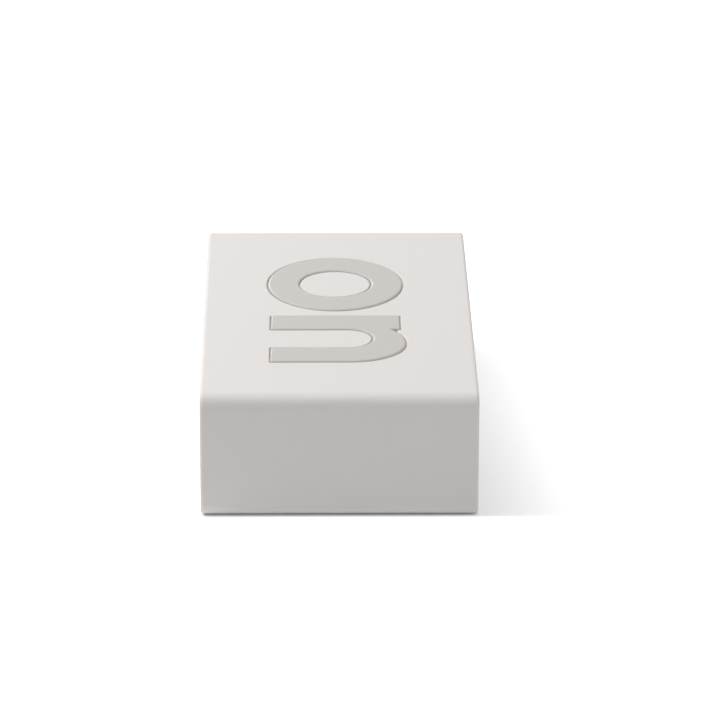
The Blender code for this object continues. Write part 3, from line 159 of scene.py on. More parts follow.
KEY_SIZE = (0.0056, 0.0042)
FLANGE_SIZE = (0.0066, 0.0052, 0.0021)
FLANGE_FRONT = 0.0261
FLANGE_STEPS = ((0, 0.0007), (0.0001, 0.0001))
KEY_CROWN_WIDTH = 0.0003
KEY_SHOULDER_SHARE, KEY_CROWN_SHARE = 0.7, 0.3
KEY_ROOT = 0.0004
PLUNGER_RADIUS = 0.0012
PLUS_ARM, PLUS_REACH = 0.00022, 0.0011
MINUS_BAR = (0.0022, 0.00044, 0.0001, 2)
KEY_BELL = ((0, 0.0001), 0.0024)
DIAL_RADII = (0.0012, 0.00092)
HANDS = (0.00013, 0.00058, 0.00072)
INK_SPAN = (0.00007, 0.0003)
MARK_REACH = 0.00127
KEYS = {
    "set_key": "set_button", "alarm_key": "alarm_button",
    "plus_key": "plus_button", "minus_key": "minus_button",
}

# Each screw's places, head radius and height, shank radius, length and the seat of its head
SCREWS = {
    "rear_screw": (BOSS_PLACE, 0.0019, 0.0009, 0.0011, 0.0085, 0.0283),
    "board_screw": (POST_PLACE, 0.0015, 0.0010, 0.0008, 0.0062, -0.0185),
}
THREAD_PITCH = 0.0005
THREAD_CUT = 0.0002
CROSS_WIDTH = 0.0005
CROSS_SHARE = 1.25
CORE_SHARE = 0.82
CROWN_SHARE = 0.62
HEAD_SIDE_SHARE = 0.35
POINT_SHARE = 0.3
CROWN_ANGLES = (22, 45, 68, 90)
SCREW_TURN_STEP, SCREW_TURN_START = 17, 8
SCREW_ANGLE = math.radians(40)

CELL_RADIUS = 0.0052
CELL_LENGTH = 0.0445
CELL_Y = 0.0221
CELL_EDGE = 0.0004
CELL_CRIMP = 0.0001
CELL_DISH = (0.0014, 0.0012)
CELL_FOOT = (0.0030, 0.0028, 0.0002)
CELL_BARE = (0.0009, 0.0007)
BAND_START = 0.72
LINE_PLACE = 0.70
LINE_HALF = 0.0004
CELL_STARTS = {1: (-0.0351, "+X"), 2: (0.0057, "-X")}
NUB = (0.0019, 0.0008)
NUB_EDGE = 0.0003
WRAP_EDGE = 0.00012
WRAP_START = (0.0010, 0.0009)
SPRING_LENGTH = 0.0034
SPRING_WIRE = 0.00022
SPRING_RADII = (0.0036, 0.0019)
SPRING_TURNS = 3.5
SPRING_STEPS = 28
SPRING_ANGLE = math.radians(60)
SPRING_STARTS = {1: (-0.0388, 1), 2: (0.0094, -1)}


def tone(red, green, blue):
    """A colour given as it looks on a screen, from 0 to 255, as light."""
    return tuple(((level / 255 + 0.055) / 1.055) ** 2.4 for level in (red, green, blue))


# Settings

def length_setting(name, description, default):
    return FloatProperty(
        name=name, description=description, default=default, min=0.0, soft_max=0.1,
        precision=5, subtype="DISTANCE", unit="LENGTH",
    )


def colour_setting(name, description, default):
    return FloatVectorProperty(
        name=name, description=description, default=default, min=0.0, max=1.0, size=3, subtype="COLOR"
    )


def level_setting(name, description, default):
    return FloatProperty(name=name, description=description, default=default, min=0.0)


class SleeveSettings(PropertyGroup):
    wall: length_setting("Wall", "Thickness of the sleeve's wall", 0.0019)
    corner_radius: length_setting("Corner radius", "Rounding of the four long corners", 0.0032)
    rim_radius: length_setting("Rim radius", "Rounding of the two open ends", 0.0008)
    pocket_depth: length_setting("Pocket depth", "Depth of the pockets that hold the letters", 0.00060)
    pocket_rim: length_setting("Pocket rim", "Rounding of the pockets' rims", 0.00035)
    pocket_fit: length_setting("Pocket fit", "Space left round a letter's outline", 0.00022)


class LetterSettings(PropertyGroup):
    thickness: length_setting("Thickness", "Thickness of a letter inlay", 0.00079)
    rise: length_setting("Rise", "How far an inlay stands out of the case", 0.00020)
    growth: length_setting("Growth", "How far an inlay fills its pocket's fit", 0.00003)
    shoulder_width: length_setting("Shoulder width", "Width of the rounded edge", 0.00062)
    shoulder_depth: length_setting("Shoulder depth", "Depth of the rounded edge", 0.00045)
    stem: length_setting("Stem", "Width of the upright strokes", 0.00825)
    x_height: length_setting("Letter height", "Height of the n's stem", 0.02865)
    arch_height: length_setting("Arch height", "Height of the round tops", 0.02975)
    ascender: length_setting("Ascender", "Height of the f", 0.0400)
    space: length_setting("Letter space", "Space between neighbouring letters", 0.0034)


class RearSettings(PropertyGroup):
    edge_radius: length_setting("Edge radius", "Rounding of the cover's outer edge", 0.0003)
    opening_rim: length_setting("Opening rim", "Rounding of the openings' rims", 0.0002)
    door_edge: length_setting("Door edge", "Rounding of the battery door's edges", 0.00025)
    key_dome: length_setting("Key shoulder", "Rounding of a key's top edge", 0.0006)
    mark_depth: length_setting("Mark depth", "Depth of the marks cut in the keys", 0.00012)


class FrontSettings(PropertyGroup):
    edge_radius: length_setting("Edge radius", "Rounding of the bezel's outer edge", 0.0003)
    lens_edge: length_setting("Lens edge", "Rounding of the window's edge", 0.0002)
    digit_height: length_setting("Digit height", "Height of the display's numerals", 0.0112)
    digit_width: length_setting("Digit width", "Width of the display's numerals", 0.0064)
    digit_stroke: length_setting("Stroke", "Width of the numerals' bars", 0.00125)
    time: StringProperty(
        name="Time", description="The time on the display, four numerals with a colon", default="10:08"
    )


class ColourSettings(PropertyGroup):
    case: colour_setting("Case", "Soft-touch coating of the case", tone(232, 228, 225))
    letters: colour_setting("Letters", "Letter inlays", tone(202, 198, 194))
    bezel: colour_setting("Bezel", "Dark plastic parts", tone(46, 46, 49))
    cover: colour_setting("Rear cover", "Grey plastic parts", tone(196, 193, 190))
    keys: colour_setting("Keys", "White plastic parts", tone(236, 235, 232))
    mark: colour_setting("Marks", "Ink in the marks of the keys", tone(92, 92, 94))
    display: colour_setting("Display", "Ground of the display", tone(176, 184, 168))
    digit: colour_setting("Numerals", "Lit bars of the numerals", tone(34, 38, 36))
    board: colour_setting("Board", "Solder mask of the boards", tone(34, 92, 58))
    steel: colour_setting("Steel", "Screws, springs and contacts", tone(196, 197, 200))
    wrap: colour_setting("Cell wrap", "Body of a battery cell", tone(62, 68, 78))
    wrap_band: colour_setting("Cell band", "Band at a cell's raised end", tone(206, 142, 84))


class StageSettings(PropertyGroup):
    key_strength: level_setting("Key light", "Strength of the broad light from above", 1.64)
    key_angle: level_setting("Key spread", "How wide the broad light is, in degrees", 60.0)
    fill_strength: level_setting("Fill light", "Strength of the soft light on the near end", 0.26)
    fill_angle: level_setting("Fill spread", "How wide the fill light is, in degrees", 30.0)
    bounce_strength: level_setting("Bounce light", "Strength of the low light on the rear", 0.46)
    side_strength: level_setting("Side light", "Power of the soft box on the display's side", 0.76)
    card_strength: level_setting("Gloss card", "Power of the card that only gloss shows", 1.4)
    sky_strength: level_setting("Sky", "Level of the light from all round", 0.22)
    floor: colour_setting("Floor", "Colour of the floor", (0.84, 0.84, 0.84))
    floor_lift: level_setting("Floor lift", "White added to the floor where it is seen", 0.44)


# Outlines, as lists of points that run anticlockwise

def arc(centre, radii, start, end, steps):
    points = []
    for index in range(steps + 1):
        angle = math.radians(start + (end - start) * index / steps)
        points.append((centre[0] + radii[0] * math.cos(angle), centre[1] + radii[1] * math.sin(angle)))
    return points


def ellipse(centre, radii, steps):
    return arc(centre, radii, 0, 360, steps)[:-1]


def circle(radius, steps):
    return ellipse((0, 0), (radius, radius), steps)


def rounded_rectangle(length, height, radius, steps=CORNER_STEPS, centre=(0, 0)):
    points = []
    for quarter, (side_x, side_y) in enumerate(((1, 1), (-1, 1), (-1, -1), (1, -1))):
        middle = (
            centre[0] + side_x * (length / 2 - radius),
            centre[1] + side_y * (height / 2 - radius),
        )
        points += arc(middle, (radius, radius), 90 * quarter, 90 * (quarter + 1), steps)
    return without_repeats(points)


def pill(length, height, grow=0.0, steps=PILL_STEPS):
    return rounded_rectangle(length + 2 * grow, height + 2 * grow, min(length, height) / 2 + grow, steps)


def without_repeats(points):
    kept = []
    for point in points:
        if not kept or math.dist(point, kept[-1]) > NEAR:
            kept.append(point)
    if math.dist(kept[0], kept[-1]) <= NEAR:
        kept.pop()
    return kept


def grow_outline(points, distance):
    """Moves an outline outwards by a distance, with mitred corners."""
    points = [Vector(point) for point in without_repeats(points)]
    grown = []
    for index, point in enumerate(points):
        into = (point - points[index - 1]).normalized()
        out_of = (points[(index + 1) % len(points)] - point).normalized()
        normal_in = Vector((into.y, -into.x))
        normal_out = Vector((out_of.y, -out_of.x))
        mitre = (normal_in + normal_out) / (1 + normal_in.dot(normal_out))
        grown.append(tuple(point + mitre * distance))
    return grown


O_RADII = (0.0168, 0.0153)
O_HOLE_RADII = (0.0083, 0.00825)
N_WIDTH = 0.0275
N_COUNTER = 0.0226
N_SHOULDER = (0.0108, 0.0120)
N_ARCH = (0.0085, 0.0043)
N_NOTCH = 0.0003
N_NOTCH_GROWTH = 2.2
F_STEM = 0.0055
F_STROKE = 0.0070
F_BAR_REACH = 0.0054
F_BAR_SPACE = 0.0007
F_BAR_TAPER = 0.0002
F_HOOK_RADIUS = 0.0030
F_HOOK_REACH = 0.0034
F_SPACE = 0.0012
ON_SHIFT = -0.0004
OFF_LIFT = 0.0015


def letter_o(letters, grow):
    centre = (O_RADII[0], letters.arch_height - O_RADII[1])
    return [
        ellipse(centre, [radius + grow for radius in O_RADII], LETTER_STEPS),
        ellipse(centre, [radius - grow for radius in O_HOLE_RADII], LETTER_STEPS),
    ]


def letter_n(letters, grow):
    quarter = LETTER_STEPS // 4
    counter = (N_WIDTH - 2 * letters.stem) / 2
    shoulder = (N_WIDTH - N_SHOULDER[0], letters.arch_height - N_SHOULDER[1])
    arch = (shoulder[0], letters.arch_height - N_ARCH[1])
    arch_start = letters.stem + max(N_NOTCH, N_NOTCH_GROWTH * grow)
    notch_angle = math.degrees(math.acos((arch_start - arch[0]) / N_ARCH[0]))
    outline = [(0, 0), (letters.stem, 0)]
    outline += arc((N_WIDTH / 2, N_COUNTER - counter), (counter, counter), 180, 0, 2 * quarter)
    outline += [(N_WIDTH - letters.stem, 0), (N_WIDTH, 0)]
    outline += arc(shoulder, N_SHOULDER, 0, 90, quarter)
    outline += arc(arch, N_ARCH, 90, notch_angle, quarter // 2)
    outline += [(letters.stem, outline[-1][1]), (letters.stem, letters.x_height), (0, letters.x_height)]
    return [grow_outline(outline, grow)]


def letter_f(letters, grow):
    quarter = LETTER_STEPS // 4
    stem_right = F_STEM + letters.stem
    hook_start = stem_right + F_HOOK_RADIUS
    hook_low = letters.ascender - F_STROKE
    bar_top = hook_low - F_HOOK_RADIUS - F_BAR_SPACE
    bar_low = bar_top - F_STROKE
    bar_end = stem_right + F_BAR_REACH
    end_low, end_top = bar_low + F_BAR_TAPER, bar_top - F_BAR_TAPER
    outline = [(F_STEM, 0), (stem_right, 0), (stem_right, bar_low)]
    outline += [(bar_end, end_low), (bar_end, end_top), (stem_right, bar_top)]
    inner = (F_HOOK_RADIUS, F_HOOK_RADIUS)
    outline += arc((hook_start, hook_low - F_HOOK_RADIUS), inner, 180, 90, quarter // 2)
    outline += [(hook_start + F_HOOK_REACH, hook_low), (hook_start + F_HOOK_REACH, letters.ascender)]
    outer = (hook_start - F_STEM, letters.ascender - bar_top)
    outline += arc((hook_start, bar_top), outer, 90, 180, quarter)
    outline += [(0, end_top), (0, end_low), (F_STEM, bar_low)]
    return [grow_outline(outline, grow)]


def letter_layout(letters):
    """Each letter's frame node, outline, start along its line, baseline, and whether it is on top."""
    after_o = 2 * O_RADII[0] + letters.space
    f_width = F_STEM + letters.stem + F_HOOK_RADIUS + F_HOOK_REACH
    after_f = f_width + F_SPACE
    on_start = ON_SHIFT - (after_o + N_WIDTH) / 2
    off_start = -(after_o + after_f + f_width) / 2
    on_line = -letters.arch_height / 2
    off_line = OFF_LIFT - letters.ascender / 2
    return (
        ("on_letter_o", letter_o, on_start, on_line, True),
        ("on_letter_n", letter_n, on_start + after_o, on_line, True),
        ("off_letter_o", letter_o, off_start, off_line, False),
        ("off_letter_f_1", letter_f, off_start + after_o, off_line, False),
        ("off_letter_f_2", letter_f, off_start + after_o + after_f, off_line, False),
    )


def shifted(outlines, across, along, mirror=False):
    side = -1 if mirror else 1
    return [[(side * (x + across), y + along) for x, y in outline] for outline in outlines]


# Modelling

TURNS = {
    "+X": (0, math.pi / 2, 0), "-X": (0, -math.pi / 2, 0),
    "+Y": (math.pi / 2, 0, math.pi), "-Y": (math.pi / 2, 0, 0),
    "+Z": (0, 0, 0), "-Z": (0, math.pi, 0),
}


def take(*pieces):
    """Selects only these objects and makes the first one active."""
    if bpy.context.object and bpy.context.object.mode != "OBJECT":
        bpy.ops.object.mode_set(mode="OBJECT")
    bpy.ops.object.select_all(action="DESELECT")
    for piece in pieces:
        piece.select_set(True)
    if pieces:
        bpy.context.view_layer.objects.active = pieces[0]


def edit(piece):
    take(piece)
    bpy.ops.object.mode_set(mode="EDIT")
    bpy.ops.mesh.select_all(action="SELECT")


def leave_edit():
    bpy.ops.object.mode_set(mode="OBJECT")


def pick(kind, test):
    """In edit mode, selects the edges or faces of the active object that pass a test."""
    bpy.ops.mesh.select_mode(type="VERT")
    bpy.ops.mesh.select_all(action="DESELECT")
    bpy.ops.mesh.select_mode(type={"edges": "EDGE", "faces": "FACE"}[kind])
    shape = bmesh.from_edit_mesh(bpy.context.object.data)
    found = [part for part in getattr(shape, kind) if test(part)]
    if not found:
        raise RuntimeError(f"no {kind} found on {bpy.context.object.name}")
    for part in found:
        part.select_set(True)
    bmesh.update_edit_mesh(bpy.context.object.data)


def face_outwards(piece):
    """Turns all faces of a closed piece outwards."""
    edit(piece)
    bpy.ops.mesh.normals_make_consistent(inside=False)
    if bmesh.from_edit_mesh(piece.data).calc_volume(signed=True) < 0:
        bpy.ops.mesh.flip_normals()
    leave_edit()


def linked(name, data):
    thing = bpy.data.objects.new(name, data)
    bpy.context.scene.collection.objects.link(thing)
    return thing


def named(name):
    piece = bpy.context.object
    piece.name = piece.data.name = name
    return piece


def settle(piece):
    """Puts an object's place, turn and scale into its mesh."""
    take(piece)
    bpy.ops.object.transform_apply(location=True, rotation=True, scale=True)
    return piece


def stand(piece, towards, place):
    """Brings a piece drawn a thousand times its size to its real size, turn and place."""
    piece.scale = (1 / MILLIMETRES,) * 3
    piece.rotation_euler = TURNS[towards]
    piece.location = place
    return settle(piece)


def block(name, low, high):
    """A box between two corners."""
    low, high = Vector(low), Vector(high)
    take()
    bpy.ops.mesh.primitive_cube_add(size=1, location=(low + high) / 2)
    piece = named(name)
    piece.scale = high - low
    return settle(piece)


def rod(name, radius, start, end, steps=ROUND_STEPS):
    """A round rod between two points that differ along Y or Z."""
    start, end = Vector(start), Vector(end)
    along = end - start
    take()
    bpy.ops.mesh.primitive_cylinder_add(
        vertices=steps, radius=radius, depth=along.length, location=(start + end) / 2,
        rotation=along.to_track_quat("Z", "Y").to_euler(),
    )
    return settle(named(name))


def post(name, radius, x, z, start, end, steps=POST_STEPS):
    """A round rod along Y."""
    return rod(name, radius, (x, start, z), (x, end, z), steps)


def hinge_rod(name, radius, half, steps=SMALL_STEPS):
    """A round rod along the hinge's axis."""
    reach = Vector((0, 0, half))
    return rod(name, radius, HINGE_AXIS - reach, HINGE_AXIS + reach, steps)


def drawn(name, lines, closed, **settings):
    """Lines of points drawn as a curve, made a mesh and opened for editing."""
    curve = bpy.data.curves.new(name, "CURVE")
    curve.dimensions = "3D"
    for setting, value in settings.items():
        setattr(curve, setting, value)
    for points in lines:
        spline = curve.splines.new("POLY")
        spline.points.add(len(points) - 1)
        for knot, point in zip(spline.points, points):
            knot.co = (*point, 1)
        spline.use_cyclic_u = closed
    take(linked(name, curve))
    bpy.ops.object.convert(target="MESH")
    piece = bpy.context.object
    edit(piece)
    return piece


def flat_sheet(name, regions):
    """Regions filled in, a thousand times their size.

    A region is one outline, or an outer outline and the outline of its hole.
    """
    sheets = []
    for region in regions:
        lines = [
            [(x * MILLIMETRES, y * MILLIMETRES, 0) for x, y in without_repeats(outline)]
            for outline in region
        ]
        sheet = drawn(name, lines, closed=True)
        if len(region) == 1:
            bpy.ops.mesh.edge_face_add()
        else:
            bpy.ops.mesh.bridge_edge_loops()
        bpy.ops.mesh.select_all(action="SELECT")
        bpy.ops.mesh.normals_make_consistent(inside=False)
        leave_edit()
        if sheet.data.polygons[0].normal.z < 0:
            edit(sheet)
            bpy.ops.mesh.flip_normals()
            leave_edit()
        sheets.append(sheet)
    take(*sheets)
    if len(sheets) > 1:
        bpy.ops.object.join()
    return sheets[0]


def moulding(name, regions, steps, towards, place):
    """A flat sheet raised in steps; each step goes in from the edge and on from the sheet."""
    piece = flat_sheet(name, regions)
    edit(piece)
    for inward, onward in steps:
        if inward:
            bpy.ops.mesh.inset(
                thickness=inward * MILLIMETRES, depth=onward * MILLIMETRES, use_even_offset=True
            )
        else:
            bpy.ops.mesh.extrude_region_move(
                TRANSFORM_OT_translate={"value": (0, 0, onward * MILLIMETRES)}
            )
    face_outwards(piece)
    return stand(piece, towards, place)


def shoulder(width, depth, count=RIM_STEPS):
    """Steps that round the top edge of a raised shape."""
    steps = []
    for index in range(count):
        before, after = (math.pi / 2 * (index + share) / count for share in (0, 1))
        inward = width * (math.cos(before) - math.cos(after))
        steps.append((inward, depth * (math.sin(after) - math.sin(before))))
    return steps


def plate(name, outline, depth, edge, towards, place):
    """A plate with one face's edge rounded."""
    return moulding(name, [[outline]], [(0, depth - edge)] + shoulder(edge, edge), towards, place)


def opening(name, outlines, depth, rim, towards, face):
    """A cutter for an opening with a rounded rim; its outlines are already grown by the rim."""
    flare = [(onward, inward) for inward, onward in shoulder(rim, rim)]
    steps = [(0, OVERRUN - SKIM)] + flare + [(0, depth - rim + SKIM)]
    back = -OVERRUN if towards[0] == "+" else OVERRUN
    place = Vector(face) + Vector([back * (axis == towards[1]) for axis in "XYZ"])
    return moulding(name, [outlines], steps, towards, place)


def combine(piece, others, operation):
    for other in others:
        step = piece.modifiers.new(other.name, "BOOLEAN")
        step.operation = operation
        step.solver = "EXACT"
        step.object = other
        take(piece)
        bpy.ops.object.modifier_apply(modifier=step.name)
        bpy.data.objects.remove(other, do_unlink=True)
    if not piece.data.polygons:
        raise RuntimeError(f"{piece.name} came out empty")


def cut(piece, *cutters):
    combine(piece, cutters, "DIFFERENCE")


def cut_at_once(piece, cutters):
    """Cuts with many shapes that stand clear of each other, in one step."""
    take(*cutters)
    bpy.ops.object.join()
    cut(piece, cutters[0])


def weld(piece, *additions):
    combine(piece, additions, "UNION")


def shade(piece, angle=SMOOTH_ANGLE):
    """Smooth curves, crisp corners and flat faces that stay flat."""
    take(piece)
    bpy.ops.object.shade_smooth_by_angle(angle=angle)
    step = piece.modifiers.new("weights", "WEIGHTED_NORMAL")
    step.keep_sharp = True
    step.weight = 90
    bpy.ops.object.modifier_apply(modifier=step.name)


def copy_of(piece, name, shift, turn):
    """A copy with its own mesh, turned about the origin and moved."""
    twin = piece.copy()
    twin.data = piece.data.copy()
    twin.name = twin.data.name = name
    bpy.context.scene.collection.objects.link(twin)
    twin.data.transform(turn)
    twin.data.transform(Matrix.Translation(shift))
    return twin


def spun(name, profile, towards, place, steps=ROUND_STEPS):
    """A profile of (radius, height) corners, spun round its axis."""
    mesh = bpy.data.meshes.new(name)
    points = [(radius * MILLIMETRES, 0, height * MILLIMETRES) for radius, height in profile]
    mesh.from_pydata(points, [(index, index + 1) for index in range(len(points) - 1)], [])
    piece = linked(name, mesh)
    edit(piece)
    bpy.ops.mesh.spin(steps=steps, angle=2 * math.pi, center=(0, 0, 0), axis=(0, 0, 1))
    bpy.ops.mesh.select_all(action="SELECT")
    bpy.ops.mesh.remove_doubles(threshold=MERGE_REACH)
    face_outwards(piece)
    return stand(piece, towards, place)


def finish_piece(piece, body, slot, finish, *nodes):
    """Gives a piece its finish and body, and hides the frame's nodes that it stands for; the slot is not
    used.
    """
    piece.data.materials.clear()
    piece.data.materials.append(finish.material)
    if nodes:
        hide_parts(*nodes)
    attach(piece, body)


def corners(half_x, half_z):
    return [
        (number + 1, side_x * half_x, MIDDLE + side_z * half_z)
        for number, (side_z, side_x) in enumerate(((-1, -1), (-1, 1), (1, -1), (1, 1)))
    ]


def middle_of(node):
    low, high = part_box(node)
    return (low + high) / 2


# Materials

def arithmetic(operation, turned=False):
    """A method that joins an amount with another amount or a number."""
    def joined(first, second):
        return first.with_math(operation, *((second, first) if turned else (first, second)))
    return joined


class Amount:
    """A number that changes over a surface, with the arithmetic that makes new ones."""
    __add__ = __radd__ = arithmetic("ADD")
    __sub__ = arithmetic("SUBTRACT")
    __rsub__ = arithmetic("SUBTRACT", turned=True)
    __mul__ = __rmul__ = arithmetic("MULTIPLY")
    __truediv__ = arithmetic("DIVIDE")
    __gt__ = arithmetic("GREATER_THAN")
    __lt__ = arithmetic("LESS_THAN")

    def __init__(self, nodes, socket):
        self.nodes = nodes
        self.socket = socket

    def __abs__(self):
        return self.with_math("ABSOLUTE", self)

    def with_math(self, operation, *values):
        return self.nodes.node("ShaderNodeMath", {"operation": operation}, dict(enumerate(values)))

    def wrapped(self, span):
        return self.with_math("MODULO", self + 100 * span, span)


class Nodes:
    """The shader nodes of a material or of the world."""

    def __init__(self, owner):
        owner.use_nodes = True
        self.tree = owner.node_tree
        self.tree.nodes.clear()

    def fill(self, socket, value):
        """Links a socket to an amount, or sets it to a constant or a colour."""
        if isinstance(value, Amount):
            self.tree.links.new(value.socket, socket)
        elif isinstance(value, tuple) and socket.type == "RGBA":
            socket.default_value = (*value, 1.0)
        else:
            socket.default_value = value

    def node(self, kind, settings=None, values=None, output=0):
        """Adds a node: its settings first, then the values or links of its sockets."""
        node = self.tree.nodes.new(kind)
        for name, value in (settings or {}).items():
            setattr(node, name, value)
        for key, value in (values or {}).items():
            self.fill(node.inputs[key], value)
        return Amount(self, node.outputs[output]) if node.outputs else None

    def seen(self):
        """1 for rays from the camera, a mirror or through glass."""
        camera, mirror, glass = (
            self.node("ShaderNodeLightPath", output=kind)
            for kind in ("Is Camera Ray", "Is Glossy Ray", "Is Transmission Ray")
        )
        return camera.with_math("MAXIMUM", camera.with_math("MAXIMUM", camera, mirror), glass)


class Finish(Nodes):
    """One procedural material."""

    def __init__(self, name, **constants):
        self.material = bpy.data.materials.new(name)
        super().__init__(self.material)
        surface = self.node("ShaderNodeBsdfPrincipled")
        self.surface = surface.socket.node
        self.node("ShaderNodeOutputMaterial", values={"Surface": surface})
        for setting, value in constants.items():
            self.set(setting.replace("_", " ").title().replace("Ior", "IOR"), value)
        self.spot = self.node("ShaderNodeTexCoord", output="Object")

    def set(self, name, value):
        self.fill(self.surface.inputs[name], value)

    def along(self, axis):
        return self.node("ShaderNodeSeparateXYZ", values={0: self.spot}, output="XYZ".index(axis))

    def stretched(self, scale):
        return self.node("ShaderNodeMapping", values={"Vector": self.spot, "Scale": scale})

    def noise(self, grain, detail=2.0, spot=None):
        """Soft noise whose lumps are about one grain wide."""
        return self.node("ShaderNodeTexNoise", values={
            "Vector": spot or self.spot, "Scale": 1 / grain, "Detail": detail, "Roughness": 0.55,
        })

    def cells(self, width, randomness, spot=None, **settings):
        """The distance to the nearest of many scattered points about a width apart."""
        return self.node("ShaderNodeTexVoronoi", {"feature": "F1", **settings}, {
            "Vector": spot, "Scale": 1 / width, "Randomness": randomness,
        })

    def mix(self, share, first, second):
        return self.node(
            "ShaderNodeMix", {"data_type": "RGBA"}, {"Factor": share, 6: first, 7: second}, 2
        )

    def mottled(self, share, colour, darker, lighter):
        """A colour that changes between two shares of its light."""
        return self.mix(share, shade_of(colour, darker), shade_of(colour, lighter))

    def dress(self, colour, roughness, height, depth):
        """Sets the colour and the roughness, and a relief of a given depth."""
        relief = {"Height": height, "Distance": depth, "Strength": 1.0}
        self.set("Base Color", colour)
        self.set("Roughness", roughness)
        self.set("Normal", self.node("ShaderNodeBump", values=relief))


def shade_of(colour, share):
    return tuple(min(1.0, level * share) for level in colour)


def coated(name, colour, grain, depth, roughness, mottle=0.02, **constants):
    """A moulded or coated plastic: fine grain, slow colour and gloss changes."""
    finish = Finish(name, **constants)
    slow = finish.noise(0.014, 3.0)
    fine = finish.noise(grain)
    specks = finish.noise(grain * 6, 1.0)
    finish.dress(
        finish.mottled(slow * 0.75 + fine * 0.25, colour, 1 - mottle, 1 + mottle),
        roughness - 0.05 + slow * 0.06 + specks * 0.05, fine * 0.7 + specks * 0.3, depth,
    )
    return finish


def steel_finish(name, colour, stretch):
    """Drawn metal, its scratches stretched along the axes of the smaller numbers."""
    finish = Finish(name, metallic=1.0)
    drawn = finish.noise(0.0003, spot=finish.stretched(stretch))
    slow = finish.noise(0.004)
    tinted = finish.mottled(slow, colour, 0.9, 1.04)
    finish.dress(tinted, 0.22 + drawn * 0.16 + slow * 0.06, drawn, 0.000006)
    return finish


def key_finish(name, colour, ink, centre, top):
    """White plastic with ink in the marks cut into the key's top."""
    finish = coated(name, colour, 0.0003, 0.000006, 0.42, 0.012)
    deep = finish.along("Y") < top - INK_SPAN[0]
    above = finish.along("Y") > top - INK_SPAN[1]
    across = finish.along("X") - centre.x
    upward = finish.along("Z") - centre.z
    inked = deep * above * (across * across + upward * upward < MARK_REACH * MARK_REACH)
    wear = finish.noise(0.0006)
    plain = finish.mottled(wear, colour, 0.985, 1.01)
    finish.set("Base Color", finish.mix(inked, plain, finish.mottled(wear, ink, 0.85, 1.2)))
    return finish


def board_finish(name, colour):
    """Solder mask over copper tracks, with bare tinned pads."""
    finish = Finish(name, specular_ior_level=0.5)
    spot = finish.stretched((1, 0, 1))
    lines = finish.cells(0.0035, 0.85, spot, distance="CHEBYCHEV").wrapped(0.22) > 0.13
    dots = finish.cells(0.0027, 0.25, spot)
    pads = dots < 0.17
    tinned = finish.mix(pads, finish.mottled(lines, colour, 0.72, 1.25), tone(205, 203, 190))
    finish.set("Metallic", pads * 0.8)
    finish.dress(
        finish.mix(dots < 0.07, tinned, tone(40, 38, 30)),
        0.42 - pads * 0.14 + finish.noise(0.002) * 0.08, lines * 0.6 + pads * 0.4, 0.00003,
    )
    return finish


def striped_finish(name, axis, pitch, share, first, second, roughness):
    """Straight stripes along a piece, as on a flat cable or a contact strip."""
    finish = Finish(name)
    stripe = finish.along(axis).wrapped(pitch) > pitch * share
    soft = finish.noise(0.002)
    colour = finish.mix(stripe, first, finish.mottled(soft, second, 1, 0.92))
    finish.dress(colour, roughness + soft * 0.1, stripe + soft * 0.2, 0.00002)
    return finish


def cell_finish(name, colours, start, side):
    """A cell's printed wrap: plain body, band at the raised end, bare steel ends."""
    finish = Finish(name)
    along = side * (finish.along("X") - start)
    bare = (along < CELL_BARE[0]) + (along > CELL_LENGTH - NUB[1] - CELL_BARE[1])
    band = along > CELL_LENGTH * BAND_START
    line = abs(along - CELL_LENGTH * LINE_PLACE) < LINE_HALF
    soft = finish.noise(0.003)
    body = finish.mottled(soft, colours.wrap, 0.9, 1.12)
    banded = finish.mix(band, body, finish.mottled(soft, colours.wrap_band, 0.94, 1.04))
    printed = finish.mix(line, banded, tone(226, 226, 226))
    scratched = finish.noise(0.0004)
    metal = finish.mix(scratched, tone(172, 172, 174), tone(208, 208, 210))
    finish.set("Metallic", bare * 0.95)
    roughness = 0.30 + soft * 0.08 + bare * scratched * 0.12
    finish.dress(finish.mix(bare, printed, metal), roughness, soft, 0.00002)
    return finish


def display_finish(name, colour):
    """The grey-green ground of the display, a little darker at its foot."""
    finish = Finish(name)
    film = finish.noise(0.00012, 1.0)
    upward = (finish.along("Z") - GLASS_LOW.z) / (GLASS_HIGH.z - GLASS_LOW.z)
    ground = finish.mottled(upward * 0.6 + finish.noise(0.02) * 0.4, colour, 0.93, 1.07)
    finish.dress(ground, 0.28 + film * 0.1, film, 0.000003)
    return finish


def window_finish(name):
    finish = Finish(name, transmission_weight=1.0, ior=1.49)
    haze = finish.noise(0.006, 3.0)
    finish.set("Base Color", finish.mix(haze, (0.97, 0.975, 0.97), (1.0, 1.0, 1.0)))
    finish.set("Roughness", 0.015 + haze * 0.03)
    return finish


# Case and letters

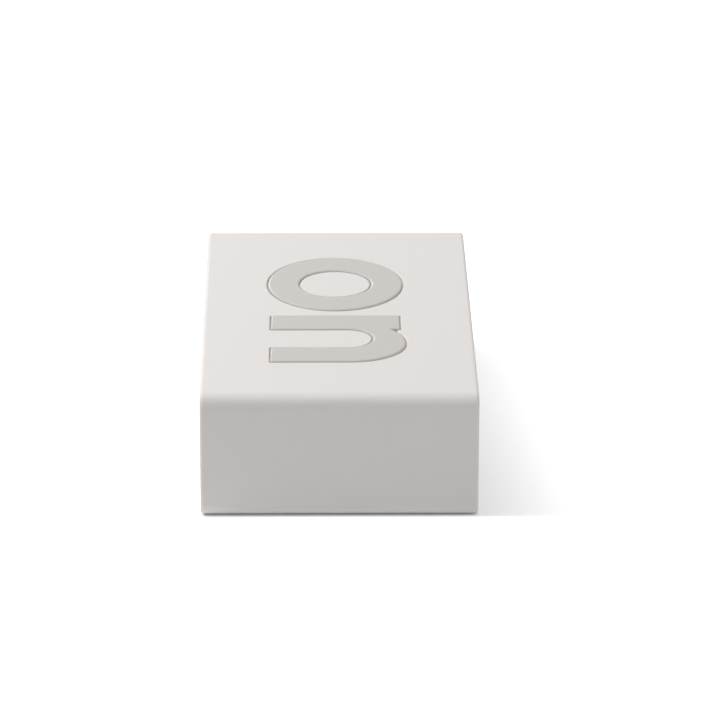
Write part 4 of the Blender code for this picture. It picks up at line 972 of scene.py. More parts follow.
def make_sleeve(settings, letters, colours):
    rise = Vector((0, 0, letters.rise))
    sleeve = block("sleeve_moulding", SLEEVE_LOW + rise, SLEEVE_HIGH - rise)
    half = (SLEEVE_HIGH.y - SLEEVE_LOW.y) / 2

    def lengthwise(edge):
        return abs(edge.verts[0].co.y - edge.verts[1].co.y) > half

    def at_end(part):
        return abs(abs(sum(vert.co.y for vert in part.verts) / len(part.verts)) - half) < SKIM

    edit(sleeve)
    for test, radius, segments in (
        (lengthwise, settings.corner_radius, CORNER_SEGMENTS), (at_end, settings.rim_radius, END_SEGMENTS),
    ):
        pick("edges", test)
        bpy.ops.mesh.bevel(offset=radius, segments=segments, affect="EDGES", clamp_overlap=False)
    pick("faces", lambda face: at_end(face) and abs(face.normal.y) > FACING)
    bpy.ops.mesh.inset(thickness=settings.wall - settings.rim_radius, use_even_offset=True)
    bpy.ops.mesh.delete(type="FACE")
    pick("edges", lambda edge: edge.is_boundary)
    bpy.ops.mesh.bridge_edge_loops()
    face_outwards(sleeve)
    add_bosses(sleeve, settings.wall)
    rim = settings.pocket_rim
    for node, outline, start, line, on_top in letter_layout(letters):
        outlines = shifted(
            outline(letters, settings.pocket_fit + letters.growth + rim), start, line, mirror=True
        )
        face = SLEEVE_HIGH.z - letters.rise if on_top else SLEEVE_LOW.z + letters.rise
        towards = "-Z" if on_top else "+Z"
        cut(sleeve, opening(node + "_pocket", outlines, settings.pocket_depth, rim, towards, (0, 0, face)))
    shade(sleeve)
    coat = coated(
        "soft_touch_coating", colours.case, 0.00022, 0.000012, 0.56, 0.008,
        coat_weight=0.04, coat_roughness=0.36,
    )
    finish_piece(sleeve, "case", "soft_touch_white", coat, "case_sleeve")


def add_bosses(sleeve, wall):
    """Screw posts inside the sleeve, tied to its walls by webs."""
    inside_x = SLEEVE_HIGH.x - wall / 2
    inside_z = SLEEVE_HIGH.z - MIDDLE - wall / 2
    low, high = BOSS_SPAN
    half_web = BOSS_WEB / 2
    for number, x, z in corners(*BOSS_PLACE):
        left, right = sorted((x, math.copysign(inside_x, x)))
        below, above = sorted((z, MIDDLE + math.copysign(inside_z, z - MIDDLE)))
        weld(
            sleeve,
            post(f"boss_{number}", BOSS_RADIUS, x, z, low, high),
            block(f"side_web_{number}", (left, low, z - half_web), (right, high, z + half_web)),
            block(f"flat_web_{number}", (x - half_web, low, below), (x + half_web, high, above)),
        )
        cut(sleeve, post(f"pilot_{number}", PILOT_RADIUS, x, z, PILOT_BOTTOM, high + OVERRUN))


def make_letters(letters, colours):
    coat = coated("letter_inlay", colours.letters, 0.00030, 0.000008, 0.36, 0.008)
    steps = [(0, letters.thickness - letters.shoulder_depth)]
    steps += shoulder(letters.shoulder_width, letters.shoulder_depth, LETTER_RIM_STEPS)
    for node, outline, start, line, on_top in letter_layout(letters):
        outlines = shifted(outline(letters, letters.growth), start, line)
        back = SLEEVE_HIGH.z - letters.thickness if on_top else SLEEVE_LOW.z + letters.thickness
        towards = "+Z" if on_top else "-Z"
        inlay = moulding(node.replace("letter", "inlay"), [outlines], steps, towards, (0, 0, back))
        shade(inlay)
        finish_piece(inlay, "case", "letter_grey", coat, node)


# Front

def make_front(front, colours):
    size = BEZEL_HIGH - BEZEL_LOW
    outline = rounded_rectangle(size.x, size.z, PLATE_CORNER)
    bezel = plate("bezel_moulding", outline, size.y, front.edge_radius, "-Y", (0, BEZEL_HIGH.y, MIDDLE))
    inside = (size.x / 2 - SKIRT_WALL, size.z / 2 - SKIRT_WALL)
    cut(bezel, block(
        "bezel_inside", (-inside[0], LEDGE_SPAN[1], MIDDLE - inside[1]),
        (inside[0], BEZEL_HIGH.y + OVERRUN, MIDDLE + inside[1]),
    ))
    lens_size = LENS_HIGH - LENS_LOW
    margin = FIT + FRONT_RIM
    rebate = rounded_rectangle(lens_size.x + 2 * margin, lens_size.z + 2 * margin, PLATE_CORNER + margin)
    window = rounded_rectangle(*(side + 2 * FRONT_RIM for side in WINDOW_SIZE), WINDOW_CORNER + FRONT_RIM)
    for name, edge, depth, face in (
        ("lens_rebate", rebate, LEDGE_SPAN[0] - BEZEL_LOW.y, BEZEL_LOW.y),
        ("window", window, WINDOW_DEPTH, LEDGE_SPAN[0]),
    ):
        cut(bezel, opening(name, [edge], depth, FRONT_RIM, "+Y", (0, face, MIDDLE)))
    for number, x, z in corners(*POST_PLACE):
        low, high = LEDGE_SPAN[1] - POST_ROOT, BEZEL_HIGH.y
        weld(bezel, post(f"post_{number}", POST_RADIUS, x, z, low, high))
        pilot = (x, z, POST_PILOT_BOTTOM, high + OVERRUN, SMALL_STEPS)
        cut(bezel, post(f"post_pilot_{number}", POST_PILOT_RADIUS, *pilot))
    shade(bezel)
    dark = coated("dark_plastic_grain", colours.bezel, 0.00028, 0.000014, 0.42, 0.05)
    finish_piece(bezel, "case", "dark_plastic", dark, "front_bezel")
    outline = rounded_rectangle(lens_size.x, lens_size.z, PLATE_CORNER)
    lens = plate("window_lens", outline, lens_size.y, front.lens_edge, "-Y", (0, LENS_HIGH.y, MIDDLE))
    shade(lens)
    finish_piece(lens, "case", "clear_window", window_finish("window_acrylic"), "display_lens")


def bar_outline(bar, left, front):
    """One bar of a numeral whose left edge is given, about the middle height."""
    stroke = front.digit_stroke
    space, half = stroke * BAR_SPACE_SHARE, stroke / 2
    right, level = left + front.digit_width - half, (front.digit_height - stroke) / 2
    left += half
    start, end = {
        "a": ((left, level), (right, level)), "d": ((left, -level), (right, -level)),
        "g": ((left, 0), (right, 0)), "f": ((left, 0), (left, level)),
        "b": ((right, 0), (right, level)), "e": ((left, -level), (left, 0)),
        "c": ((right, -level), (right, 0)),
    }[bar]
    start, end = Vector(start), Vector(end)
    along = (end - start).normalized()
    side = Vector((-along.y, along.x)) * half
    start, end = start + along * space, end - along * space
    return [tuple(point) for point in (
        start, start + along * half - side, end - along * half - side,
        end, end - along * half + side, start + along * half + side,
    )]


def bell_outline(centre, size):
    """A bell and the clapper below it; each number is a share of the bell's width."""
    body = [(-0.5, -0.36), (0.5, -0.36), (0.36, -0.2)]
    body += arc((0, 0.12), (0.32, 0.36), 0, 180, 12) + [(-0.36, -0.2)]
    clapper = arc((0, -0.43), (0.14, 0.14), 180, 360, 8)
    return [
        [(centre[0] + x * size, centre[1] + y * size) for x, y in outline]
        for outline in (body, clapper)
    ]


def make_display(front, colours):
    """Numerals of seven bars, a colon and a bell, on the front glass of the display."""
    width = front.digit_width
    figures = [figure for figure in front.time if figure in BARS]
    total = len(figures) * width + (len(figures) - 1) * DIGIT_SPACE + COLON_SPACE
    left = -total / 2
    lit, unlit = [], []
    for index, figure in enumerate(figures):
        if index == len(figures) // 2:
            middle = left - DIGIT_SPACE / 2 + COLON_SPACE / 2
            lit += [rounded_rectangle(*COLON_DOT, (middle, side * COLON_RISE)) for side in (-1, 1)]
            left += COLON_SPACE
        for bar in "abcdefg":
            (lit if bar in BARS[figure] else unlit).append(bar_outline(bar, left, front))
        left += width + DIGIT_SPACE
    sign_x, sign_y = total / 2 + SIGN_PLACE[0], SIGN_PLACE[1]
    lit += bell_outline((sign_x, sign_y), BELL_SIZE)
    unlit.append(ellipse((-sign_x, sign_y), (DOT_RADIUS, DOT_RADIUS), SMALL_STEPS))
    face = (0, GLASS_LOW.y - SKIM, MIDDLE)
    for name, outlines, colour, roughness in (
        ("lcd_lit_bars", lit, colours.digit, 0.25),
        ("lcd_unlit_bars", unlit, shade_of(colours.display, 0.86), 0.3),
    ):
        bars = moulding(name, [[outline] for outline in outlines], [(0, INK_THICKNESS)], "-Y", face)
        ink = coated(name + "_ink", colour, 0.0002, 0.000002, roughness, 0.03)
        finish_piece(bars, "case", "display_glass", ink)


# Rear

def make_rear_cover(rear, grain):
    size = COVER_HIGH - COVER_LOW
    face, back = COVER_HIGH.y, COVER_HIGH.y - COVER_THICKNESS
    above, rim = face + OVERRUN, rear.opening_rim
    outline = rounded_rectangle(size.x, size.z, PLATE_CORNER)
    place = (0, back, MIDDLE)
    cover = plate("rear_moulding", outline, COVER_THICKNESS, rear.edge_radius, "+Y", place)
    weld(cover, block(
        "bay_tub", (TUB_X[0], TUB_BACK, COVER_LOW.z), (TUB_X[1], back + COVER_THICKNESS / 2, COVER_HIGH.z)
    ))
    for number, (x, z) in enumerate(PEG_PLACES):
        weld(cover, post(f"peg_{number}", PEG_RADIUS, x, z, PEG_TIP, back + OVERRUN, SMALL_STEPS))

    def hole(name, outline, depth, x, z=MIDDLE):
        return opening(name, [outline], depth, rim, "-Y", (x, face, z))

    recess_length = TUB_X[1] - HINGE_RECESS[0]
    recess = rounded_rectangle(
        recess_length + 2 * rim, 2 * (BAY_HALF + rim), FIT + rim, FEW_CORNER_STEPS
    )
    cut(
        cover,
        hole("door_recess", recess, face - DOOR_SEAT, (HINGE_RECESS[0] + TUB_X[1]) / 2),
        block(
            "hinge_recess", (HINGE_RECESS[0], HINGE_RECESS[2], MIDDLE - BAY_HALF),
            (HINGE_RECESS[1], above, MIDDLE + BAY_HALF),
        ),
        block("bay_inside", (BAY_X[0], BAY_FLOOR, MIDDLE - BAY_HALF), (BAY_X[1], above, MIDDLE + BAY_HALF)),
        hinge_rod("hinge_socket", PIN_RADIUS + FIT, size.z),
        hole("finger_notch", circle(NOTCH[0] + rim, LARGE_STEPS), NOTCH[1], TUB_X[1]),
    )
    holes = []
    for node in KEYS.values():
        centre = middle_of(node)
        holes.append(hole(node + "_hole", pill(*KEY_SIZE, FIT + rim), THROUGH, centre.x, centre.z))
    sounder = middle_of("buzzer")
    slot_width, slot_height, pitch, count = SLOT
    slot = pill(slot_width, slot_height, rim, SLOT_STEPS)
    for index in range(count):
        x = sounder.x + (index - (count - 1) / 2) * pitch
        holes.append(hole(f"sound_slot_{index}", slot, THROUGH, x, sounder.z))
    for number, x, z in corners(*BOSS_PLACE):
        sink = circle(SINK[0] + rim, ROUND_STEPS)
        holes.append(hole(f"screw_sink_{number}", sink, SINK[1], x, z))
    cut_at_once(cover, holes)
    cut_at_once(cover, [
        post(f"screw_hole_{number}", PILOT_RADIUS, x, z, back - OVERRUN, above)
        for number, x, z in corners(*BOSS_PLACE)
    ])
    half_width, half_height = (side / 2 for side in TAB_SLOT)
    cut_at_once(cover, [
        block(
            f"tab_slot_{number}", (x - half_width, TUB_BACK - OVERRUN, z - half_height),
            (x + half_width, BAY_FLOOR + OVERRUN, z + half_height),
        )
        for number, (x, z) in enumerate(TAB_PLACES)
    ])
    shade(cover)
    finish_piece(cover, "case", "grey_plastic", grain, "rear_cover")


def make_battery_door(rear, grain):
    edge = rear.door_edge
    length = DOOR_HIGH.x - HINGE_AXIS.x
    face = HINGE_AXIS.y + BARREL_RADIUS
    outline = rounded_rectangle(length, 2 * DOOR_HALF, DOOR_CORNER, FEW_CORNER_STEPS)
    place = (HINGE_AXIS.x + length / 2, face - DOOR_THICKNESS, MIDDLE)
    door = plate("door_moulding", outline, DOOR_THICKNESS, edge, "+Y", place)
    weld(
        door, hinge_rod("door_barrel", BARREL_RADIUS, DOOR_HALF, ROUND_STEPS),
        hinge_rod("door_pins", PIN_RADIUS, DOOR_HIGH.z - MIDDLE),
    )
    tongue_width, tongue_length, slot_width = TONGUE
    slot = pill(tongue_length + 2 * OVERRUN + 2 * edge, slot_width + 2 * edge)
    for side in (-1, 1):
        centre = (DOOR_HIGH.x - tongue_length / 2 + OVERRUN, face, MIDDLE + side * tongue_width / 2)
        cut(door, opening(f"tongue_slot_{side}", [slot], THROUGH, edge, "-Y", centre))
    count, pitch, width, height, ridge_length = RIDGES
    steps = [(0, height + 2 * SKIM)] + shoulder(height * RIDGE_SHOULDER_SHARE, height - 2 * SKIM)
    for index in range(count):
        place = (DOOR_HIGH.x - (index + 1) * pitch, face - height, MIDDLE)
        weld(door, moulding(f"ridge_{index}", [[pill(width, ridge_length)]], steps, "+Y", place))
    arrow = grow_outline(ARROW, ARROW_RIM)
    cut(door, opening("door_arrow", [arrow], ARROW_DEPTH, ARROW_RIM, "-Y", (ARROW_X, face, MIDDLE)))
    shade(door)
    finish_piece(door, "door", "grey_plastic", grain, "battery_door")


def key_mark(body):
    """The outlines cut in a key's top: a plus, a minus, a bell or a clock."""
    if body == "plus_key":
        arm, reach = PLUS_ARM, PLUS_REACH
        return [[[
            (arm, arm), (arm, reach), (-arm, reach), (-arm, arm), (-reach, arm), (-reach, -arm),
            (-arm, -arm), (-arm, -reach), (arm, -reach), (arm, -arm), (reach, -arm), (reach, arm),
        ]]]
    if body == "minus_key":
        return [[rounded_rectangle(*MINUS_BAR)]]
    if body == "alarm_key":
        return [[outline] for outline in bell_outline(*KEY_BELL)]
    ring = [circle(radius, ROUND_STEPS) for radius in DIAL_RADII]
    half, short, tall = HANDS
    hands = [(-half, -half), (short, -half), (short, half), (half, half), (half, tall), (-half, tall)]
    return [ring, [hands]]


def make_keys(rear, colours):
    """The four keys: pill-shaped caps on flanges, each with its mark."""
    dome = rear.key_dome
    for body, node in KEYS.items():
        low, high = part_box(node)
        centre = (low + high) / 2
        x, z = centre.x, centre.z
        base = (x, FLANGE_FRONT, z)
        steps = [(0, high.y - FLANGE_FRONT - dome)]
        steps += shoulder(dome, dome * KEY_SHOULDER_SHARE, KEY_RIM_STEPS)
        steps += [(KEY_CROWN_WIDTH, dome * KEY_CROWN_SHARE)]
        cap = moulding(body + "_cap", [[pill(*KEY_SIZE)]], steps, "+Y", base)
        flange_outline = rounded_rectangle(*FLANGE_SIZE)
        weld(
            cap,
            moulding(body + "_flange", [[flange_outline]], FLANGE_STEPS, "+Y", base),
            post(body + "_plunger", PLUNGER_RADIUS, x, z, low.y, FLANGE_FRONT + KEY_ROOT, SMALL_STEPS),
        )
        marks = [shifted(region, 0, 0, mirror=True) for region in key_mark(body)]
        depth = OVERRUN + rear.mark_depth
        cut(cap, moulding(body + "_mark", marks, [(0, depth)], "-Y", (x, high.y + OVERRUN, z)))
        shade(cap)
        finish = key_finish(body + "_plastic", colours.keys, colours.mark, centre, high.y)
        finish_piece(cap, body, "white_plastic", finish, node)


# Screws, cells and springs

def screw_profile(head, height, shank, length):
    """A pan head and a threaded shank with a short point, from the top down."""
    core, crown, side = shank * CORE_SHARE, head * CROWN_SHARE, height * HEAD_SIDE_SHARE
    profile = [(0, height), (crown, height)]
    for angle in (math.radians(degrees) for degrees in CROWN_ANGLES):
        radius = crown + (head - crown) * math.sin(angle)
        profile.append((radius, side + (height - side) * math.cos(angle)))
    profile += [(head, 0), (core, 0)]
    for index in range(int((length - shank) / THREAD_PITCH)):
        level = -THREAD_CUT - index * THREAD_PITCH
        profile += [(core, level), (shank, level - THREAD_CUT), (core, level - 2 * THREAD_CUT)]
    return profile + [(core, shank - length), (shank * POINT_SHARE, -length), (0, -length)]


def make_screws(colours):
    """Screws with a cross recess: four at the rear and four in the front's posts."""
    finish = steel_finish("screw_steel", colours.steel, (1, 0.2, 1))
    for kind, (place, head, height, shank, length, seat) in SCREWS.items():
        first = spun(kind + "_pattern", screw_profile(head, height, shank, length), "+Y", (0, seat, 0))
        face = seat + height
        wide, narrow = head * CROSS_SHARE / 2, CROSS_WIDTH / 2
        for name, half_x, half_z in (("wide", wide, narrow), ("tall", narrow, wide)):
            cut(first, block(
                kind + name, (-half_x, face - CROSS_WIDTH, -half_z), (half_x, face + OVERRUN, half_z)
            ))
        shade(first, SCREW_ANGLE)
        for number, x, z in corners(*place):
            angle = math.radians(SCREW_TURN_STEP * number + SCREW_TURN_START)
            turn = Matrix.Rotation(angle, 4, "Y")
            screw = copy_of(first, f"{kind}_turned_{number}", (x, 0, z), turn)
            finish_piece(screw, "case", "steel", finish, f"{kind}_{number}")
        bpy.data.objects.remove(first, do_unlink=True)


def make_cells(colours):
    """Two cells side by side, facing opposite ways."""
    nub_radius, nub_length = NUB
    top = CELL_LENGTH - nub_length
    crimp, edge, wrap = CELL_CRIMP, CELL_EDGE, CELL_RADIUS - WRAP_EDGE
    foot, foot_inner, foot_depth = CELL_FOOT
    profile = [(0, CELL_LENGTH), (nub_radius - NUB_EDGE, CELL_LENGTH)]
    profile += [(nub_radius - crimp, CELL_LENGTH - crimp), (nub_radius, CELL_LENGTH - NUB_EDGE)]
    profile += [(nub_radius, top + crimp), (nub_radius + 2 * crimp, top - crimp)]
    profile += [(CELL_RADIUS - CELL_DISH[0], top - crimp), (CELL_RADIUS - CELL_DISH[1], top)]
    profile += [(CELL_RADIUS - edge, top), (CELL_RADIUS - edge * 0.3, top - edge * 0.3)]
    profile += [(CELL_RADIUS, top - edge), (CELL_RADIUS, WRAP_START[0]), (wrap, WRAP_START[1])]
    profile += [(wrap, edge), (CELL_RADIUS - edge, 0), (foot, 0), (foot_inner, foot_depth), (0, foot_depth)]
    for number, (start, towards) in CELL_STARTS.items():
        node = f"battery_cell_{number}"
        place = (start, CELL_Y, middle_of(node).z)
        cell = spun(f"cell_{number}", profile, towards, place, LARGE_STEPS)
        shade(cell)
        finish = cell_finish(f"cell_wrap_{number}", colours, start, 1 if towards == "+X" else -1)
        finish_piece(cell, "case", "cell_wrap", finish, node)


def make_springs(colours):
    """Coned coil springs, each one unbroken wire."""
    finish = steel_finish("spring_steel", colours.steel, (1, 1, 1))
    base, tip = SPRING_RADII
    count = int(SPRING_TURNS * SPRING_STEPS)
    for number, (start, side) in SPRING_STARTS.items():
        node = f"battery_spring_{number}"
        level = middle_of(node).z
        points = []
        for index in range(count + 1):
            share = index / count
            angle = 2 * math.pi * SPRING_TURNS * share
            radius = base + (tip - base) * share
            x = start + side * (SPRING_WIRE + (SPRING_LENGTH - 2 * SPRING_WIRE) * share)
            points.append((x, CELL_Y + radius * math.cos(angle), level + radius * math.sin(angle)))
        spring = drawn(
            f"spring_coil_{number}", [points], closed=False,
            bevel_depth=SPRING_WIRE, bevel_resolution=2, use_fill_caps=True,
        )
        bpy.ops.mesh.remove_doubles(threshold=2 * NEAR)
        face_outwards(spring)
        bpy.ops.object.shade_smooth_by_angle(angle=SPRING_ANGLE)
        finish_piece(spring, "case", "steel", finish, node)


# The frame's own nodes that stay as they are

def inner_parts(colours):
    """The finishes of the frame's own nodes, each with its slot and its nodes."""
    plastics = (
        ("inner_dark_plastic", (colours.bezel, 0.0004, 0.000012, 0.5, 0.06), "dark_plastic",
         "tilt_switch_base switch_body_1 switch_body_2 switch_body_3 switch_body_4"),
        ("inner_white_plastic", (colours.keys, 0.0004, 0.000008, 0.45, 0.015), "white_plastic",
         "display_frame"),
        ("stem_rubber", (tone(30, 30, 31), 0.0003, 0.000014, 0.8, 0.1), "black_rubber",
         "switch_stem_1 switch_stem_2 switch_stem_3 switch_stem_4"),
        ("controller_resin", (tone(22, 22, 24), 0.0011, 0.00006, 0.32, 0.12), "dark_plastic",
         "controller_blob"),
        ("sounder_case", (tone(28, 28, 30), 0.0005, 0.00001, 0.48, 0.08), "dark_plastic", "buzzer"),
        ("capacitor_sleeve", (tone(30, 34, 62), 0.0008, 0.00001, 0.35, 0.1), "dark_plastic", "capacitor"),
        ("light_guide_acrylic", (tone(232, 236, 238), 0.0006, 0.00001, 0.22, 0.02), "white_plastic",
         "diffuser_sheet light_guide"),
        ("lamp_resin", (tone(238, 226, 150), 0.0004, 0.00001, 0.3, 0.06), "white_plastic",
         "backlight_led"),
        ("red_insulation_vinyl", (tone(176, 34, 32), 0.0006, 0.00001, 0.4, 0.08), "red_insulation",
         "red_lead"),
        ("black_insulation_vinyl", (tone(26, 26, 27), 0.0006, 0.00001, 0.4, 0.1), "black_insulation",
         "black_lead"),
    )
    polariser, rear_film = colours.display, shade_of(colours.display, 0.9)
    layers = (tone(28, 28, 30), tone(188, 186, 180), 0.6)
    wires = (tone(120, 118, 116), tone(186, 183, 178), 0.45)
    return [(coated(name, *look), slot, nodes) for name, look, slot, nodes in plastics] + [
        (steel_finish("contact_steel", colours.steel, (1, 1, 0.15)), "steel",
         "crystal tilt_switch_can tilt_switch_ball "
         "contact_link_plate contact_plate_positive contact_plate_negative"),
        (steel_finish("reflector_film", tone(225, 226, 228), (1, 1, 1)), "white_plastic",
         "reflector_sheet"),
        (board_finish("solder_mask", colours.board), "board_green", "main_board button_board"),
        (display_finish("display_polariser", polariser), "display_glass", "lcd_front_glass"),
        (display_finish("display_rear_film", rear_film), "display_glass", "lcd_rear_glass"),
        (striped_finish("contact_strip_layers", "X", 0.0004, 0.5, *layers), "black_rubber", "zebra_strip"),
        (striped_finish("ribbon_conductors", "Z", 0.0010, 0.22, *wires), "grey_plastic", "ribbon_cable"),
    ]


def paint_nodes(colours):
    """Gives the frame's own nodes their finishes."""
    painted = set()
    for finish, slot, nodes in inner_parts(colours):
        for node in nodes.split():
            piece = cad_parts[node]
            piece.data.materials.clear()
            piece.data.materials.append(finish.material)
            painted.add(node)
    left = {name for name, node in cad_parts.items() if not node.hide_render} - painted
    if left:
        raise RuntimeError(f"no material for {sorted(left)}")


# Stage

CAMERA_TARGET = Vector((0.0, 0.0050804, 0.0159596))
CAMERA_DISTANCE = 0.98663
CAMERA_AZIMUTH = math.radians(89.193)
CAMERA_ELEVATION = math.radians(21.782)
CAMERA_ROLL = math.radians(0.1761)
CAMERA_LENS = 218.355
CAMERA_SENSOR = 36.0
CAMERA_CLIP = (0.05, 20.0)
KEY_LIGHT = (-0.25, -0.45, 1.0)
FILL_LIGHT = (1.0, -0.25, 0.12)
BOUNCE_LIGHT = (0.0, 1.0, 0.18)
SIDE_LIGHT = (-0.25, -0.85, 1.10)
SIDE_BOX = (0.35, 0.58)
GLOSS_CARD = (-0.93, -0.30, 0.24)
CARD_BOX = (0.50, 1.2)
FLOOR_SIZE = 12.0
CONTACT_SHADOW_REACH = 0.0007

# Changes of the floor's light along X: from one place to another, from one level to another
FAR_LIFT = (0.047, -0.060, 0.0, 0.20)
NEAR_LIFT = (0.0508, 0.0524, 0.0, 0.45)
FRONT_STRIP = (0.052, 0.078, 0.36, 0.0)


def make_camera():
    flat = math.cos(CAMERA_ELEVATION)
    back = Vector((
        math.sin(CAMERA_AZIMUTH) * flat, -math.cos(CAMERA_AZIMUTH) * flat, math.sin(CAMERA_ELEVATION)
    ))
    right = Vector((math.cos(CAMERA_AZIMUTH), math.sin(CAMERA_AZIMUTH), 0))
    upward = back.cross(right)
    cos_roll, sin_roll = math.cos(CAMERA_ROLL), math.sin(CAMERA_ROLL)
    rolled_right = right * cos_roll + upward * sin_roll
    rolled_up = upward * cos_roll - right * sin_roll
    lens = bpy.data.cameras.new("photo_camera")
    lens.lens = CAMERA_LENS
    lens.sensor_width = CAMERA_SENSOR
    lens.clip_start, lens.clip_end = CAMERA_CLIP
    camera = linked("photo_camera", lens)
    camera.matrix_world = Matrix.Translation(CAMERA_TARGET + back * CAMERA_DISTANCE) @ Matrix(
        (rolled_right, rolled_up, back)
    ).transposed().to_4x4()
    bpy.context.scene.camera = camera


def make_lamp(name, kind, towards, strength, spread, distance=1.0):
    """A sun of a wide angle, or a square soft box, that shines on the clock from one side."""
    light = bpy.data.lights.new(name, kind)
    light.energy = strength
    if kind == "SUN":
        light.angle = math.radians(spread)
    else:
        light.size = spread
    lamp = linked(name, light)
    towards = Vector(towards).normalized()
    lamp.location = towards * distance
    lamp.rotation_euler = towards.to_track_quat("Z", "Y").to_euler()
    return lamp


def make_sky(strength):
    """Soft light from all round, behind a white backdrop."""
    world = bpy.data.worlds.new("studio")
    bpy.context.scene.world = world
    sky = Nodes(world)
    light, backdrop = (
        sky.node("ShaderNodeBackground", values={"Color": (1.0, 1.0, 1.0), "Strength": level})
        for level in (strength, 1.0)
    )
    blend = sky.node("ShaderNodeMixShader", values={0: sky.seen(), 1: light, 2: backdrop})
    sky.node("ShaderNodeOutputWorld", values={"Surface": blend})


def make_floor(colour, lift):
    """A white floor: it keeps the clock's shadow, and a strip of it lights the clock's near end."""
    take()
    bpy.ops.mesh.primitive_plane_add(size=FLOOR_SIZE, location=(0, 0, SLEEVE_LOW.z))
    floor = settle(named("studio_floor"))
    material = bpy.data.materials.new("studio_floor_paint")
    paint = Nodes(material)
    plain = paint.node("ShaderNodeBsdfDiffuse", values={"Color": tuple(colour)})
    reach = {"Distance": CONTACT_SHADOW_REACH}
    open_floor = paint.node("ShaderNodeAmbientOcclusion", {"samples": 8}, reach, "AO")
    place = paint.node("ShaderNodeTexCoord", output="Object")
    along = paint.node("ShaderNodeSeparateXYZ", values={0: place}, output="X")

    def ramp(start, end, first, last, course="LINEAR"):
        return paint.node("ShaderNodeMapRange", {"interpolation_type": course}, {
            "Value": along, "From Min": start, "From Max": end, "To Min": first, "To Max": last
        })

    near = ramp(*NEAR_LIFT, "SMOOTHSTEP")
    seen = paint.seen()
    strength = open_floor * (ramp(*FAR_LIFT) + near + lift) * seen + near * ramp(*FRONT_STRIP) * (1 - seen)
    glow = paint.node("ShaderNodeEmission", values={"Strength": strength})
    blend = paint.node("ShaderNodeAddShader", values={0: plain, 1: glow})
    paint.node("ShaderNodeOutputMaterial", values={"Surface": blend})
    floor.data.materials.append(material)


def make_stage(stage):
    make_camera()
    make_lamp("key_light", "SUN", KEY_LIGHT, stage.key_strength, stage.key_angle)
    make_lamp("fill_light", "SUN", FILL_LIGHT, stage.fill_strength, stage.fill_angle)
    make_lamp("bounce_light", "SUN", BOUNCE_LIGHT, stage.bounce_strength, stage.fill_angle)
    make_lamp("side_light", "AREA", SIDE_LIGHT, stage.side_strength, *SIDE_BOX)
    card = make_lamp("gloss_card", "AREA", GLOSS_CARD, stage.card_strength, *CARD_BOX)
    card.visible_diffuse = False
    make_sky(stage.sky_strength)
    make_floor(stage.floor, stage.floor_lift)
    bpy.context.scene.view_settings.view_transform = "Standard"


# Operators

class FLIPCLOCK_OT_sleeve(Operator):
    """Build the soft-touch sleeve with its letter pockets"""
    bl_idname = "flip_clock.sleeve"
    bl_label = "Case sleeve"

    def execute(self, context):
        scene = context.scene
        make_sleeve(scene.clock_sleeve, scene.clock_letters, scene.clock_colours)
        return {"FINISHED"}


class FLIPCLOCK_OT_letters(Operator):
    """Build the inlaid letters of both faces"""
    bl_idname = "flip_clock.letters"
    bl_label = "Letter inlays"

    def execute(self, context):
        make_letters(context.scene.clock_letters, context.scene.clock_colours)
        return {"FINISHED"}


class FLIPCLOCK_OT_front(Operator):
    """Build the front bezel and its window"""
    bl_idname = "flip_clock.front"
    bl_label = "Bezel and window"

    def execute(self, context):
        make_front(context.scene.clock_front, context.scene.clock_colours)
        return {"FINISHED"}


class FLIPCLOCK_OT_display(Operator):
    """Build the display's numerals"""
    bl_idname = "flip_clock.display"
    bl_label = "Display"

    def execute(self, context):
        make_display(context.scene.clock_front, context.scene.clock_colours)
        return {"FINISHED"}


class FLIPCLOCK_OT_rear(Operator):
    """Build the rear cover and the battery door"""
    bl_idname = "flip_clock.rear"
    bl_label = "Rear cover and door"

    def execute(self, context):
        scene = context.scene
        grain = coated("grey_plastic_grain", scene.clock_colours.cover, 0.00026, 0.000014, 0.55, 0.012)
        make_rear_cover(scene.clock_rear, grain)
        make_battery_door(scene.clock_rear, grain)
        return {"FINISHED"}


class FLIPCLOCK_OT_keys(Operator):
    """Build the four keys"""
    bl_idname = "flip_clock.keys"
    bl_label = "Keys"

    def execute(self, context):
        make_keys(context.scene.clock_rear, context.scene.clock_colours)
        return {"FINISHED"}


class FLIPCLOCK_OT_screws(Operator):
    """Build the screws"""
    bl_idname = "flip_clock.screws"
    bl_label = "Screws"

    def execute(self, context):
        make_screws(context.scene.clock_colours)
        return {"FINISHED"}


class FLIPCLOCK_OT_cells(Operator):
    """Build the battery cells and their springs"""
    bl_idname = "flip_clock.cells"
    bl_label = "Cells and springs"

    def execute(self, context):
        make_cells(context.scene.clock_colours)
        make_springs(context.scene.clock_colours)
        return {"FINISHED"}


class FLIPCLOCK_OT_inside(Operator):
    """Give the frame's own nodes their materials"""
    bl_idname = "flip_clock.inside"
    bl_label = "Inner parts"

    def execute(self, context):
        paint_nodes(context.scene.clock_colours)
        return {"FINISHED"}


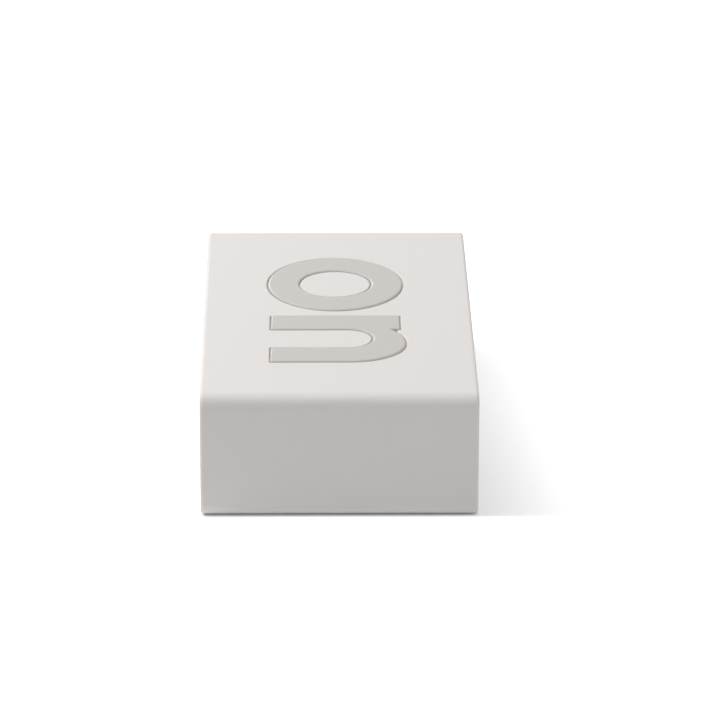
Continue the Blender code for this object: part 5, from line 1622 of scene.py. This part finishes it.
class FLIPCLOCK_OT_stage(Operator):
    """Build the floor, the light and the camera"""
    bl_idname = "flip_clock.stage"
    bl_label = "Stage"

    def execute(self, context):
        make_stage(context.scene.clock_stage)
        return {"FINISHED"}


OPERATORS = (
    FLIPCLOCK_OT_sleeve, FLIPCLOCK_OT_letters, FLIPCLOCK_OT_front, FLIPCLOCK_OT_display,
    FLIPCLOCK_OT_rear, FLIPCLOCK_OT_keys, FLIPCLOCK_OT_screws, FLIPCLOCK_OT_cells,
    FLIPCLOCK_OT_inside, FLIPCLOCK_OT_stage,
)
SETTINGS = {
    "clock_sleeve": SleeveSettings, "clock_letters": LetterSettings, "clock_rear": RearSettings,
    "clock_front": FrontSettings, "clock_colours": ColourSettings, "clock_stage": StageSettings,
}


class FLIPCLOCK_PT_panel(Panel):
    """The clock's pieces and their settings"""
    bl_label = "Flip alarm clock"
    bl_idname = "FLIPCLOCK_PT_panel"
    bl_space_type = "VIEW_3D"
    bl_region_type = "UI"
    bl_category = "Flip clock"

    def draw(self, context):
        layout = self.layout
        for operator in OPERATORS:
            layout.operator(operator.bl_idname)
        for group in SETTINGS:
            box = layout.box()
            settings = getattr(context.scene, group)
            for setting in settings.bl_rna.properties.keys():
                if setting not in ("rna_type", "name"):
                    box.prop(settings, setting)


CLASSES = (*SETTINGS.values(), *OPERATORS, FLIPCLOCK_PT_panel)


def register():
    for kind in CLASSES:
        bpy.utils.register_class(kind)
    for group, kind in SETTINGS.items():
        setattr(bpy.types.Scene, group, PointerProperty(type=kind))


def unregister():
    for group in SETTINGS:
        delattr(bpy.types.Scene, group)
    for kind in reversed(CLASSES):
        bpy.utils.unregister_class(kind)


def main():
    register()
    bpy.ops.flip_clock.sleeve()
    bpy.ops.flip_clock.letters()
    bpy.ops.flip_clock.front()
    bpy.ops.flip_clock.display()
    bpy.ops.flip_clock.rear()
    bpy.ops.flip_clock.keys()
    bpy.ops.flip_clock.screws()
    bpy.ops.flip_clock.cells()
    bpy.ops.flip_clock.inside()
    bpy.ops.flip_clock.stage()


if __name__ == "__main__":
    main()
